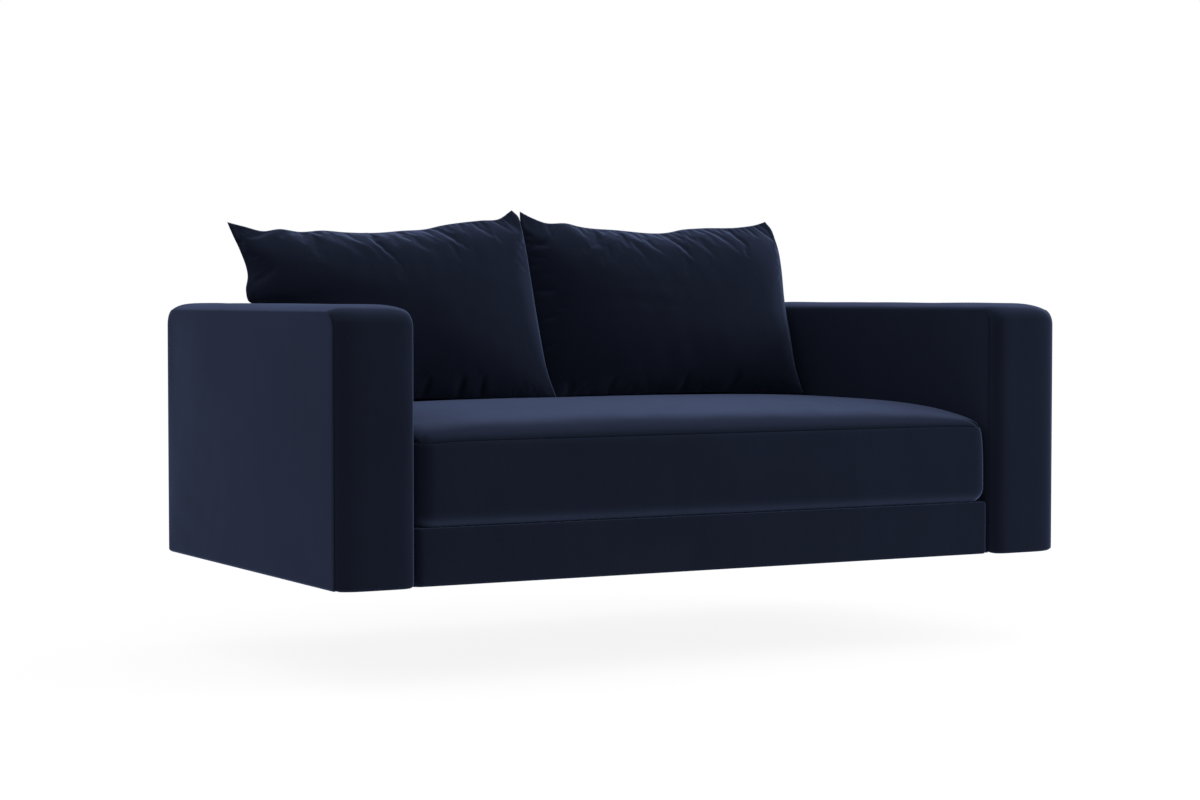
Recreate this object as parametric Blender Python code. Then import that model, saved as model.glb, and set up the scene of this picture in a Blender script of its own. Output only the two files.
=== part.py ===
"""Fitted velvet slipcover for a two-seat sofa, in metres, +Z up, front facing -Y.

The frame cover is one hollow skin of cloth panels, open below: two box arms, a low back, a
front rail and the flat deck under the seat cushion. Three filled cushions in the same velvet
lie on it: one bench seat cushion and two loose knife-edge back cushions.

Every shape is worked out in the maker's own measures: x from the middle of the sofa, y back
from the seam round the arm fronts, z up from the hem. place() then moves it so that the origin
is the middle of the deck's underside, where the cover lies on the sofa's frame.
"""
import math

import bpy
import numpy as np

# ---- driving dimensions ----
WIDTH = 1.500           # over the outer sides of the arms
DEPTH = 0.802           # arm front seam to arm rear seam
ARM_WIDTH = 0.150
ARM_HEIGHT = 0.4645     # hem to the top seams of the arms and the back
RAIL_HEIGHT = 0.0987    # hem to the deck's top face
RAIL_SETBACK = 0.009    # the rail stands this far behind the arm fronts
BACK_TOP_Y = 0.722      # inner face of the back at its top seam
BACK_FOOT_Y = 0.672     # inner face of the back where it meets the deck

CLOTH = 0.0025          # upholstery velvet with its backing
GAP = 0.0003            # between pieces that are sewn edge to edge
HEM_RADIUS = 0.006      # the cloth rolls under the frame
HEM_LIP = 0.025         # and is turned under this far
SEAM_RADIUS = 0.030     # corner of the flat arm panels, in side view
CROWN_TOP = 0.012       # how far the boxing swells between its seams, on top
CROWN_FRONT = 0.007
CROWN_BACK = 0.012
CROWN_ROUNDING = 0.020  # the corner gets this much rounder in the middle of the strip
PANEL_BULGE = 0.004     # swell of the outer arm panels and the outer back
INNER_HOLLOW = 0.0015   # the inner arm panels are drawn in a little against the frame

RAIL_CORNER = 0.010     # rounded top edge and ends of the rail
RAIL_FLANGE = 0.050     # the rail's cloth meets the deck here
RAIL_END_GAP = 0.0022   # rail end to arm
RAIL_BULGE = 0.003

SEAT_SEAM_Z = 0.2458    # seam round the top of the seat cushion
SEAT_SEAM_FRONT = 0.014
SEAT_SEAM_BACK = 0.664
SEAT_HALF_WIDTH = 0.591
SEAT_CROWN = 0.057
SEAT_CORNER = 0.012
SEAT_BOX_BULGE = 0.008
SEAT_FOOT_RADIUS = 0.010
SEAT_SEAM_DIP = 0.006   # the seam drops this much at the four corners
# Dome shapes as (power, roundness), for dome(): a high power keeps the middle flat, and a low
# roundness makes the edge steep.
SEAT_DOME = {"sides": (3.0, 0.25), "front": (2.0, 0.757), "rear": (4.0, 0.6)}
CUSHION_DOME = {"width": (3.0, 0.6), "height": (2.4, 0.6)}
CROWN_POWER = 2.2       # of the boxing strips' crown

CUSHION_FRONT = 0.085   # half thickness of a back cushion, in front of its seam
CUSHION_BACK = 0.070    # and behind it
CUSHION_CLEAR = 0.0005  # where it lies against the back
SEAT_CLEAR = 0.0012     # where it lies on the seat cushion
ARM_CLEAR = 0.0025      # where it hangs over the arm
EAR_REACH = 0.055       # how far from its tip an ear bends back
OVERHANG = 0.035        # a back cushion may hang over the back from this far above its seam
LEFT_LEAN = math.tan(math.radians(22.0))    # how far each back cushion leans back
RIGHT_LEAN = math.tan(math.radians(18.0))
LEFT_TURN = math.tan(math.radians(-3.5))    # the left one's left side stands further back
LEFT_FOOT = (-0.035, 0.607, 0.363)          # a point (x, y, z) of each cushion's seam plane
RIGHT_FOOT = (0.0, 0.610, 0.295)

DECK_UNDER = RAIL_HEIGHT - CLOTH
DECK_FRONT = RAIL_FLANGE + GAP
DECK_BACK = BACK_FOOT_Y - GAP
ORIGIN_Y = (DECK_FRONT + DECK_BACK) / 2
ARM_FACE = WIDTH / 2 - ARM_WIDTH      # x of the arms' inner faces
SEAT_MIDDLE_Y = (SEAT_SEAM_FRONT + SEAT_SEAM_BACK) / 2
SEAT_HALF_DEPTH = (SEAT_SEAM_BACK - SEAT_SEAM_FRONT) / 2

# Seam line of each back cushion in its own leaning plane, as (x, z) corners and the points
# between them. Each edge runs from left to right or from the foot up.
LEFT_EDGES = {
    "top": [(-0.644, 0.633), (-0.611, 0.624), (-0.578, 0.615), (-0.541, 0.619), (-0.504, 0.614),
            (-0.455, 0.617), (-0.410, 0.614), (-0.339, 0.614), (-0.294, 0.618), (-0.240, 0.622),
            (-0.208, 0.629), (-0.120, 0.641), (-0.079, 0.646), (-0.043, 0.667)],
    "foot": [(-0.588, 0.288), (-0.450, 0.291), (-0.180, 0.291), (-0.025, 0.289)],
    "left": [(-0.588, 0.288), (-0.580, 0.330), (-0.585, 0.440), (-0.597, 0.474),
             (-0.628, 0.484), (-0.629, 0.499), (-0.621, 0.528), (-0.628, 0.577),
             (-0.636, 0.604), (-0.644, 0.633)],
    "right": [(-0.025, 0.289), (-0.033, 0.330), (-0.035, 0.416), (-0.033, 0.500),
              (-0.031, 0.590), (-0.028, 0.636), (-0.031, 0.652), (-0.043, 0.667)],
}
RIGHT_EDGES = {
    "top": [(-0.024, 0.663), (0.000, 0.650), (0.026, 0.639), (0.078, 0.637), (0.099, 0.632),
            (0.186, 0.625), (0.317, 0.622), (0.342, 0.627), (0.391, 0.631), (0.491, 0.635),
            (0.530, 0.642), (0.568, 0.653)],
    "foot": [(-0.020, 0.289), (0.120, 0.291), (0.400, 0.291), (0.577, 0.284)],
    "left": [(-0.020, 0.289), (-0.027, 0.340), (-0.030, 0.420), (-0.028, 0.530),
             (-0.023, 0.610), (-0.024, 0.663)],
    "right": [(0.577, 0.284), (0.569, 0.335), (0.569, 0.399), (0.570, 0.475),
              (0.577, 0.550), (0.580, 0.610), (0.578, 0.638), (0.568, 0.653)],
}
# Powers by which each edge's waves fade towards the middle of a back cushion.
EDGE_FADE = {"top": 2, "foot": 2, "left": 6, "right": 4}

# Main creases of the back cushions: from (x, z) to (x, z), half width and depth. A negative
# depth is a ridge.
CREASE_COLUMNS = ("x0", "z0", "x1", "z1", "half_width", "depth")
LEFT_CREASES = [
    (-0.430, 0.612, -0.360, 0.560, 0.016, 0.006),
    (-0.350, 0.612, -0.290, 0.555, 0.016, 0.007),
    (-0.250, 0.615, -0.180, 0.560, 0.018, 0.006),
    (-0.620, 0.590, -0.575, 0.560, 0.016, 0.006),
    (-0.615, 0.505, -0.560, 0.500, 0.014, 0.008),
]
RIGHT_CREASES = [
    (0.190, 0.620, 0.260, 0.575, 0.018, 0.007),
    (0.290, 0.615, 0.345, 0.575, 0.016, 0.006),
    (0.330, 0.615, 0.420, 0.570, 0.018, 0.006),
    (0.010, 0.325, 0.060, 0.318, 0.014, 0.006),
]

NAVY = (0.018, 0.023, 0.045, 1.0)


# ---- meshes ----
def place(points):
    """Move points from the maker's measures to the model's own frame."""
    return points - np.array([0.0, ORIGIN_Y, DECK_UNDER])


def velvet(name, lift):
    """Navy velvet; lift makes it a little lighter, where the pile faces up."""
    material = bpy.data.materials.new(name)
    material.use_nodes = True
    shader = material.node_tree.nodes["Principled BSDF"]
    shader.inputs["Base Color"].default_value = tuple(c * lift for c in NAVY[:3]) + (1.0,)
    shader.inputs["Roughness"].default_value = 0.85
    shader.inputs["Sheen Weight"].default_value = 0.6
    return material


def add_body(name, points, faces, lift=1.0):
    """Make one closed object, with its faces turned outwards, from points and polygons."""
    placed = place(np.asarray(points, dtype=float))
    signed = 0.0
    for face in faces:
        first = placed[face[0]]
        for second, third in zip(face[1:-1], face[2:]):
            signed += np.dot(first, np.cross(placed[second], placed[third]))
    if signed < 0:
        faces = [tuple(reversed(face)) for face in faces]
    mesh = bpy.data.meshes.new(name)
    mesh.from_pydata(placed.tolist(), [], faces)
    mesh.update()
    mesh.shade_smooth()
    mesh.set_sharp_from_angle(angle=math.radians(40))
    mesh.materials.append(velvet(name + "_velvet", lift))
    piece = bpy.data.objects.new(name, mesh)
    bpy.context.collection.objects.link(piece)
    return piece


def grid_faces(index):
    """Quads over a grid of vertex numbers."""
    quads = np.stack([index[:-1, :-1], index[1:, :-1], index[1:, 1:], index[:-1, 1:]], axis=-1)
    return [tuple(quad) for quad in quads.reshape(-1, 4).tolist()]


def border(index):
    """Vertex numbers round the edge of a grid, once, in order."""
    return np.concatenate([index[:-1, 0], index[-1, :-1], index[:0:-1, -1], index[0, :0:-1]])


def add_sheet(name, outer, inner, lift=1.0):
    """A cloth panel: two skins of the same grid, joined round their edge."""
    rows, columns = outer.shape[:2]
    first = np.arange(rows * columns).reshape(rows, columns)
    second = first + rows * columns
    faces = grid_faces(first)
    faces += [tuple(reversed(face)) for face in grid_faces(second)]
    edge, other = border(first), border(second)
    for a, b, c, d in zip(edge, np.roll(edge, -1), np.roll(other, -1), other):
        faces.append((int(b), int(a), int(d), int(c)))
    points = np.concatenate([outer.reshape(-1, 3), inner.reshape(-1, 3)])
    return add_body(name, points, faces, lift)


def spaced(count):
    """Values from -1 to 1, closer together towards both ends."""
    return np.sin(np.linspace(-math.pi / 2, math.pi / 2, count + 1))


def dome(across, shape):
    """1 in the middle and 0 at -1 and 1: (1 - |across| ** power) ** roundness."""
    power, roundness = shape
    return (1.0 - np.minimum(np.abs(across), 1.0) ** power) ** roundness


def swell(across):
    """Crown of a boxing strip between its two seams."""
    return dome(across, (CROWN_POWER, 1.0))


# ---- arms ----
def wrap(front, back, top, corner, inset):
    """Cloth wrapped round a box, in side view: lip, front, top, back, lip.

    front, back, top and corner are arrays, one value for each place across the strip. Returns
    y and z, one row for each point along the cloth. inset draws the whole path inwards.
    """
    hem = HEM_RADIUS - inset
    bend = corner - inset
    quarter = np.linspace(0.0, math.pi / 2, 5)[:, None]
    turn = np.linspace(0.0, math.pi / 2, 7)[:, None]
    rise = np.linspace(0.0, 1.0, 7)[1:-1, None]
    run = np.linspace(0.0, 1.0, 9)[1:-1, None]
    one = np.ones_like(front)[None, :]
    lip_end = HEM_RADIUS + HEM_LIP

    y_front = front + HEM_RADIUS - hem * np.sin(quarter)
    z_front = HEM_RADIUS - hem * np.cos(quarter) * one
    low = HEM_RADIUS
    high = top - corner
    y_turn = front + corner - bend * np.cos(turn)
    z_turn = high + bend * np.sin(turn)
    y_back = back - corner + bend * np.sin(turn)
    z_back = high + bend * np.cos(turn)
    y_heel = back - HEM_RADIUS + hem * np.cos(quarter)
    z_heel = HEM_RADIUS - hem * np.sin(quarter) * one
    y = np.concatenate([
        lip_end * one, y_front, (front + inset) * one + 0 * rise, y_turn,
        front + corner + (back - front - 2 * corner) * run, y_back,
        (back - inset) * one + 0 * rise, y_heel, (DEPTH - lip_end) * one])
    z = np.concatenate([
        inset * one, z_front, low + (high - low) * rise, z_turn,
        (top - inset) * one + 0 * run, z_back,
        low + (high - low) * (1 - rise), z_heel, inset * one])
    return y, z


def band_skin(inset):
    """One skin of the boxing strip of the left arm, crowned between its two seams."""
    across = spaced(8)
    crown = swell(across)
    front = -CROWN_FRONT * crown
    back = DEPTH + CROWN_BACK * crown
    top = ARM_HEIGHT + CROWN_TOP * crown
    corner = SEAM_RADIUS + CROWN_ROUNDING * crown
    y, z = wrap(front, back, top, corner, inset)
    edge_y, edge_z = wrap(front[:1], back[:1], top[:1], corner[:1], 0.0)
    mitre = np.where(edge_z < HEM_RADIUS, np.minimum(edge_y, DEPTH - edge_y), 0.0)
    edge = CLOTH + GAP + mitre
    x = -WIDTH / 2 + edge + (ARM_WIDTH - 2 * edge) * (across + 1) / 2
    return np.stack([x, y, z], axis=-1)


def panel_skin(inset, bulge, rows, columns):
    """One skin of a flat arm panel with its hem turned under: depth from its face, y, z."""
    along = (spaced(columns) + 1) / 2
    turn = np.linspace(math.pi / 2, 0.0, 5)
    rise = np.linspace(1.0, 0.0, rows + 1)[1:-1]
    curl = np.linspace(0.0, math.pi / 2, 5)
    corner_z = ARM_HEIGHT - SEAM_RADIUS
    height = np.concatenate([
        corner_z + SEAM_RADIUS * np.sin(turn), HEM_RADIUS + (corner_z - HEM_RADIUS) * rise,
        HEM_RADIUS - (HEM_RADIUS - inset) * np.sin(curl), [inset]])
    depth = np.concatenate([
        np.full(5 + rise.size, inset), HEM_RADIUS - (HEM_RADIUS - inset) * np.cos(curl),
        [HEM_RADIUS + HEM_LIP]])
    cut_in = np.concatenate([
        SEAM_RADIUS * (1 - np.cos(turn)), np.zeros(rise.size),
        HEM_RADIUS * (1 - np.cos(curl)), [HEM_RADIUS + HEM_LIP]])
    y = cut_in[:, None] + (DEPTH - 2 * cut_in[:, None]) * along
    share = np.clip((height - HEM_RADIUS) / (ARM_HEIGHT - HEM_RADIUS), 0.0, 1.0)
    puff = np.sin(math.pi * share)[:, None] * np.sin(math.pi * along) ** 0.7
    return np.stack([depth[:, None] - bulge * puff, y, height[:, None] + 0 * y], axis=-1)


def arm(side, sign):
    """The three panels of one arm; sign is -1 for the left arm and 1 for the right."""
    mirror = np.array([-sign, 1.0, 1.0])
    add_sheet("arm_band_" + side, band_skin(0.0) * mirror, band_skin(CLOTH) * mirror, 1.1)
    outer = [panel_skin(inset, PANEL_BULGE, 7, 12) for inset in (0.0, CLOTH)]
    inner = [panel_skin(inset, -INNER_HOLLOW, 7, 12) for inset in (0.0, CLOTH)]
    for skin in outer:
        skin[..., 0] = sign * (WIDTH / 2 - skin[..., 0])
    for skin in inner:
        skin[..., 0] = sign * (ARM_FACE + skin[..., 0])
    add_sheet("arm_outer_" + side, outer[0], outer[1], 1.3)
    add_sheet("arm_inner_" + side, inner[0], inner[1], 0.8)


# ---- rail, deck and back ----
def rail_skin(inset):
    """One skin of the front rail: lip, roll, front, rolled top edge and flange to the deck.

    At each end the whole profile steps back round a quarter circle, which rounds the end off.
    """
    curve = np.linspace(math.pi / 2, 0.0, 5)
    middle = np.linspace(1.0, -1.0, 7)[1:-1]
    end = ARM_FACE - RAIL_END_GAP
    straight = end - RAIL_CORNER
    x = np.concatenate([
        -straight - (RAIL_CORNER - inset) * np.sin(curve), -straight * middle,
        straight + (RAIL_CORNER - inset) * np.sin(curve[::-1])])
    step = np.concatenate([
        RAIL_CORNER * (1 - np.cos(curve)), 0 * middle, RAIL_CORNER * (1 - np.cos(curve[::-1]))])
    skin = np.concatenate([
        inset * np.cos(curve), 0 * middle + inset, inset * np.cos(curve[::-1])])

    quarter = np.linspace(0.0, math.pi / 2, 4)[:, None]
    rise = np.linspace(0.0, 1.0, 5)[1:-1, None]
    front = RAIL_SETBACK + step
    top = RAIL_HEIGHT - step
    hem = HEM_RADIUS - skin
    bend = RAIL_CORNER - skin
    bulge = RAIL_BULGE * np.sin(math.pi * rise) * (1 - (x / end) ** 6)
    y = np.concatenate([
        RAIL_SETBACK + HEM_RADIUS + HEM_LIP + 0 * skin[None, :],
        front + HEM_RADIUS - hem * np.sin(quarter), front + skin - bulge,
        front + RAIL_CORNER - bend * np.cos(quarter), RAIL_FLANGE + 0 * skin[None, :]])
    low, high = HEM_RADIUS, top - RAIL_CORNER
    z = np.concatenate([
        skin[None, :], HEM_RADIUS - hem * np.cos(quarter), low + (high - low) * rise,
        high + bend * np.sin(quarter), (top - skin)[None, :]])
    return np.stack([x + 0 * y, y, z], axis=-1)


def back_y(z):
    """y of the sloping inner face of the back at height z, up to its top seam."""
    slope = (BACK_TOP_Y - BACK_FOOT_Y) / (ARM_HEIGHT - DECK_UNDER)
    return BACK_FOOT_Y + slope * (np.minimum(z, ARM_HEIGHT) - DECK_UNDER)


def back_outer_skin(inset):
    """One skin of the outer back, from its turned-under lip up to the top seam."""
    x = (ARM_FACE - GAP) * np.linspace(-1.0, 1.0, 9)
    curl = np.linspace(math.pi / 2, 0.0, 5)
    rise = np.linspace(0.0, 1.0, 6)[1:]
    hem = HEM_RADIUS - inset
    height = np.concatenate([
        [inset], HEM_RADIUS - hem * np.sin(curl), HEM_RADIUS + (ARM_HEIGHT - HEM_RADIUS) * rise])
    y = np.concatenate([
        [DEPTH - HEM_RADIUS - HEM_LIP], DEPTH - HEM_RADIUS + hem * np.cos(curl),
        np.full(5, DEPTH - inset)])
    share = np.clip((height - HEM_RADIUS) / (ARM_HEIGHT - HEM_RADIUS), 0.0, 1.0)
    puff = np.sin(math.pi * share)[:, None] * (1 - (x / ARM_FACE) ** 4)
    y = y[:, None] + PANEL_BULGE * puff
    return np.stack([x + 0 * y, y, height[:, None] + 0 * y], axis=-1)


def back_band_skin(inset):
    """One skin of the strip along the top of the back; its crown dies out at the arms."""
    x = (ARM_FACE - GAP) * spaced(12)
    across = spaced(6)[:, None]
    front, back = BACK_TOP_Y + CLOTH + GAP, DEPTH - CLOTH - GAP
    y = (front + back) / 2 + (back - front) / 2 * across
    crown = CROWN_TOP * swell(across) * (1 - (x / ARM_FACE) ** 8)
    return np.stack([x + 0 * y, y + 0 * x, ARM_HEIGHT - inset + crown], axis=-1)


def flat_sheet(name, corners, thickness, lift=1.0):
    """A flat panel from its four corners, with its thickness as a vector."""
    skin = np.array(corners, dtype=float).reshape(2, 2, 3)
    return add_sheet(name, skin, skin + np.array(thickness), lift)


def rail_deck_and_back():
    add_sheet("front_rail", rail_skin(0.0), rail_skin(CLOTH))
    side = ARM_FACE - GAP
    flat_sheet("seat_deck", [
        (-side, DECK_FRONT, RAIL_HEIGHT), (side, DECK_FRONT, RAIL_HEIGHT),
        (-side, DECK_BACK, RAIL_HEIGHT), (side, DECK_BACK, RAIL_HEIGHT)], (0, 0, -CLOTH))
    flat_sheet("back_inner", [
        (-side, BACK_FOOT_Y, DECK_UNDER), (side, BACK_FOOT_Y, DECK_UNDER),
        (-side, BACK_TOP_Y, ARM_HEIGHT), (side, BACK_TOP_Y, ARM_HEIGHT)], (0, CLOTH, 0), 0.8)
    add_sheet("back_band", back_band_skin(0.0), back_band_skin(CLOTH), 1.3)
    add_sheet("back_outer", back_outer_skin(0.0), back_outer_skin(CLOTH))


# ---- seat cushion ----
def seat_rise(s, t):
    """Crown of the seat over its seam, for s and t from -1 to 1 across and along the depth.

    It rises steeply from the front seam and stays full at the back, under the back cushions.
    """
    along = np.where(t < 0, dome(t, SEAT_DOME["front"]), dome(t, SEAT_DOME["rear"]))
    return SEAT_CROWN * dome(s, SEAT_DOME["sides"]) * along


def seat_height(x, y):
    """Height of the seat cushion's top at a place in plan."""
    return SEAT_SEAM_Z + seat_rise(x / SEAT_HALF_WIDTH, (y - SEAT_MIDDLE_Y) / SEAT_HALF_DEPTH)


def soften_corners(x, y, half_x, half_y, radius):
    """Press the corners of a square grid in, so that its edge is a rounded rectangle."""
    over_x = np.abs(x) - (half_x - radius)
    over_y = np.abs(y) - (half_y - radius)
    corner = (over_x > 0) & (over_y > 0)
    reach = np.where(corner, np.hypot(over_x, over_y), 1.0)
    scale = np.where(corner, np.maximum(over_x, over_y) / reach, 1.0)
    soft_x = np.where(corner, half_x - radius + over_x * scale, np.abs(x))
    soft_y = np.where(corner, half_y - radius + over_y * scale, np.abs(y))
    return np.sign(x) * soft_x, np.sign(y) * soft_y


def seat_cushion():
    """Bench cushion: crowned top, bulging boxing, rounded foot and a flat underside."""
    s, t = np.meshgrid(spaced(30), spaced(16), indexing="ij")
    x, y = soften_corners(
        s * SEAT_HALF_WIDTH, t * SEAT_HALF_DEPTH, SEAT_HALF_WIDTH, SEAT_HALF_DEPTH, SEAT_CORNER)
    dip = SEAT_SEAM_DIP * (np.abs(s) * np.abs(t)) ** 20
    top = np.stack([x, y + SEAT_MIDDLE_Y, SEAT_SEAM_Z - dip + seat_rise(s, t)], axis=-1)

    index = np.arange(s.size).reshape(s.shape)
    faces = grid_faces(index)
    ring = border(index)
    points = [top.reshape(-1, 3)]
    seam = points[0][ring]
    along = np.roll(seam, -1, axis=0) - np.roll(seam, 1, axis=0)
    outward = np.stack([along[:, 1], -along[:, 0], 0 * along[:, 0]], axis=-1)
    outward /= np.linalg.norm(outward, axis=1)[:, None]
    if np.sum(outward * (seam - seam.mean(axis=0))) < 0:
        outward = -outward

    knee = RAIL_HEIGHT + GAP + SEAT_FOOT_RADIUS
    levels = []
    for share in (0.96, 0.85, 0.6, 0.3, 0.0):
        height = knee + share * (seam[:, 2] - knee)
        levels.append((height, SEAT_BOX_BULGE * math.sqrt(1 - share ** 3)))
    for angle in np.linspace(0.0, math.pi / 2, 4)[1:]:
        height = knee - SEAT_FOOT_RADIUS * math.sin(angle)
        levels.append((height, SEAT_BOX_BULGE - SEAT_FOOT_RADIUS * (1 - math.cos(angle))))
    previous = ring
    count = s.size
    for height, out in levels:
        row = seam + outward * out
        row[:, 2] = height
        points.append(row)
        current = count + np.arange(ring.size)
        count += ring.size
        for a, b, c, d in zip(previous, np.roll(previous, -1), np.roll(current, -1), current):
            faces.append((int(b), int(a), int(d), int(c)))
        previous = current
    faces.append(tuple(int(i) for i in reversed(previous)))
    return add_body("seat_cushion", np.concatenate(points), faces, 1.2)


# ---- back cushions ----
def smooth_curve(knots, shares):
    """Points at shares 0 to 1 of the way along a soft curve through the knots."""
    knots = np.asarray(knots, dtype=float)
    lengths = np.linalg.norm(np.diff(knots, axis=0), axis=1)
    station = np.concatenate([[0.0], np.cumsum(lengths)]) / lengths.sum()
    slope = np.gradient(knots, station, axis=0)
    place_in = np.clip(np.searchsorted(station, shares, side="right") - 1, 0, len(knots) - 2)
    span = (station[place_in + 1] - station[place_in])[:, None]
    f = ((shares - station[place_in]))[:, None] / span
    start, end = knots[place_in], knots[place_in + 1]
    return (start * (2 * f ** 3 - 3 * f ** 2 + 1) + end * (3 * f ** 2 - 2 * f ** 3)
            + span * slope[place_in] * (f ** 3 - 2 * f ** 2 + f)
            + span * slope[place_in + 1] * (f ** 3 - f ** 2))


def fill_outline(edges, u, v):
    """Points (x, z) inside four edge curves.

    The four corners give straight edges and an even grid. Each edge's own waves are then carried
    inwards and fade there, so that a step in one edge stays close to it.
    """
    top, foot = smooth_curve(edges["top"], u), smooth_curve(edges["foot"], u)
    left, right = smooth_curve(edges["left"], v), smooth_curve(edges["right"], v)
    uu, vv = u[:, None, None], v[None, :, None]
    even = ((1 - uu) * (1 - vv) * foot[0] + uu * (1 - vv) * foot[-1]
            + (1 - uu) * vv * top[0] + uu * vv * top[-1])
    return (even
            + vv ** EDGE_FADE["top"] * (top[:, None] - even[:, -1:])
            + (1 - vv) ** EDGE_FADE["foot"] * (foot[:, None] - even[:, :1])
            + (1 - uu) ** EDGE_FADE["left"] * (left[None] - even[:1])
            + uu ** EDGE_FADE["right"] * (right[None] - even[-1:]))


def crease_depth(flat, creases):
    """Sum of soft troughs, each along its own line and fading out at both ends."""
    depth = np.zeros(flat.shape[:2])
    for row in creases:
        crease = dict(zip(CREASE_COLUMNS, row))
        start = np.array([crease["x0"], crease["z0"]])
        line = np.array([crease["x1"], crease["z1"]]) - start
        offset = flat - start
        along = offset @ line / (line @ line)
        nearest = offset - np.clip(along, 0.0, 1.0)[..., None] * line
        distance = np.linalg.norm(nearest, axis=-1)
        depth += crease["depth"] * np.exp(-(distance / crease["half_width"]) ** 2)
    return depth


def back_cushion(name, edges, creases, foot, lean, turn, ear_bend):
    """Knife-edge cushion with ears, leaning back on the low back and standing on the seat.

    Its seam lies in the plane y = y0 + lean * (z - z0) + turn * (x - x0), where foot is
    (x0, y0, z0). ear_bend is how far its top left and top right ears are bent back.
    """
    u = (spaced(30) + 1) / 2
    v = (spaced(20) + 1) / 2
    flat = fill_outline(edges, u, v)
    x, z = flat[..., 0], flat[..., 1]
    y = foot[1] + lean * (z - foot[2]) + turn * (x - foot[0])
    seam = np.stack([x, y, z], axis=-1)
    normal = np.array([turn, -1.0, lean])
    normal /= np.linalg.norm(normal)
    plump = (dome(2 * u - 1, CUSHION_DOME["width"])[:, None]
             * dome(2 * v - 1, CUSHION_DOME["height"])[None])
    bend = np.zeros_like(x)
    for tip, amount in zip((flat[0, -1], flat[-1, -1]), ear_bend):
        reach = np.linalg.norm(flat - tip, axis=-1) / EAR_REACH
        bend += amount * np.exp(-reach ** 2)
    trough = crease_depth(flat, creases) * np.minimum(1.0, 3 * plump)
    ahead = (CUSHION_FRONT * plump - trough - bend)[..., None] * normal
    behind = (-CUSHION_BACK * plump - bend)[..., None] * normal
    front, rear = seam + ahead, seam + behind
    for skin in (front, rear):
        rest_on_neighbours(skin)

    first = np.arange(x.size).reshape(x.shape)
    second = first + x.size
    for edge in ((0, slice(None)), (-1, slice(None)), (slice(None), 0), (slice(None), -1)):
        second[edge] = first[edge]
    inside = np.zeros(x.shape, dtype=bool)
    inside[1:-1, 1:-1] = True
    number = np.zeros(2 * x.size, dtype=int)
    number[:x.size] = np.arange(x.size)
    number[x.size:][inside.ravel()] = x.size + np.arange(inside.sum())
    points = np.concatenate([front.reshape(-1, 3), rear[inside]])
    faces = grid_faces(first)
    faces += [tuple(reversed(face)) for face in grid_faces(number[second])]
    return add_body(name, points, faces, 0.9)


def rest_on_neighbours(skin):
    """Flatten a back cushion where it meets the seat, the low back and the left arm."""
    x, y, z = skin[..., 0], skin[..., 1], skin[..., 2]
    z[:] = np.maximum(z, seat_height(x, y) + SEAT_CLEAR)
    rise_over = np.maximum(0.0, z - ARM_HEIGHT - OVERHANG)
    y[:] = np.minimum(y, back_y(z) - CUSHION_CLEAR + rise_over)
    over_arm = x < -ARM_FACE + ARM_CLEAR
    across = np.clip((x + WIDTH / 2 - ARM_WIDTH / 2) / (ARM_WIDTH / 2), -1.0, 1.0)
    arm_top = ARM_HEIGHT + CROWN_TOP * swell(across) + ARM_CLEAR
    z[:] = np.where(over_arm, np.maximum(z, arm_top), z)


def main():
    for old in list(bpy.data.objects):
        bpy.data.objects.remove(old, do_unlink=True)
    arm("left", -1)
    arm("right", 1)
    rail_deck_and_back()
    seat_cushion()
    back_cushion("back_cushion_left", LEFT_EDGES, LEFT_CREASES, LEFT_FOOT,
                 LEFT_LEAN, LEFT_TURN, (0.004, 0.012))
    back_cushion("back_cushion_right", RIGHT_EDGES, RIGHT_CREASES, RIGHT_FOOT,
                 RIGHT_LEAN, 0.0, (0.008, 0.010))


main()
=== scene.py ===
"""Looks of the fitted velvet sofa slipcover: cloth panels, seams, turned hems and filled cushions.

The file follows the cover as it is put together: the arms, the rail, deck and back, then the seat
cushion and the two back cushions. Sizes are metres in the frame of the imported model: +X to the
right, +Y to the back, +Z up, from the middle of the deck's underside.
"""
import math

import bpy
import numpy as np
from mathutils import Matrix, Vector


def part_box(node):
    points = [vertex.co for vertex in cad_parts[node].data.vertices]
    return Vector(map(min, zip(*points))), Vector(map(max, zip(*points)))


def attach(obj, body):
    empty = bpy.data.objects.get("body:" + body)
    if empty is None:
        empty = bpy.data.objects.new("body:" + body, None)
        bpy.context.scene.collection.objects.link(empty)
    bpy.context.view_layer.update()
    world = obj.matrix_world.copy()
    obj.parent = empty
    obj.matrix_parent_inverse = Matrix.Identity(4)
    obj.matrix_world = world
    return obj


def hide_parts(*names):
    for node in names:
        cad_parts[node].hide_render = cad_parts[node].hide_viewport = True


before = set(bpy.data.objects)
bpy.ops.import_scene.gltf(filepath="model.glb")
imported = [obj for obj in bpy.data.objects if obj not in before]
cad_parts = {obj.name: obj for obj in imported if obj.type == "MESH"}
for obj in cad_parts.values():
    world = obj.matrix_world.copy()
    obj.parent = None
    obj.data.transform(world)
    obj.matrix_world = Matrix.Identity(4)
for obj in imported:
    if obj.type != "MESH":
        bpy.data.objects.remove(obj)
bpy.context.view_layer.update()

# ---- camera, floor and light ----
# The cover is seen from the front left, a little above the seat, through a long lens. It stands
# on nothing that shows: the pale floor lies where the tips of a sofa's legs would be.
CAMERA_PLACE = (-2.458, -4.354, 0.398)
CAMERA_TURN = math.radians(-28.98)
CAMERA_DIP = math.radians(2.32)
CAMERA_LENS_MM = 78.7
LEG_LENGTH = 0.174
FLOOR_HALF = 14.0
WHITE = (1.0, 1.0, 1.0, 1.0)


def feed(tree, node, inputs):
    """Give each of a node's inputs its value, or link it from another node's output."""
    for socket, value in inputs.items():
        if isinstance(value, bpy.types.NodeSocket):
            tree.links.new(value, node.inputs[socket])
        else:
            node.inputs[socket].default_value = value
    return node


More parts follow.
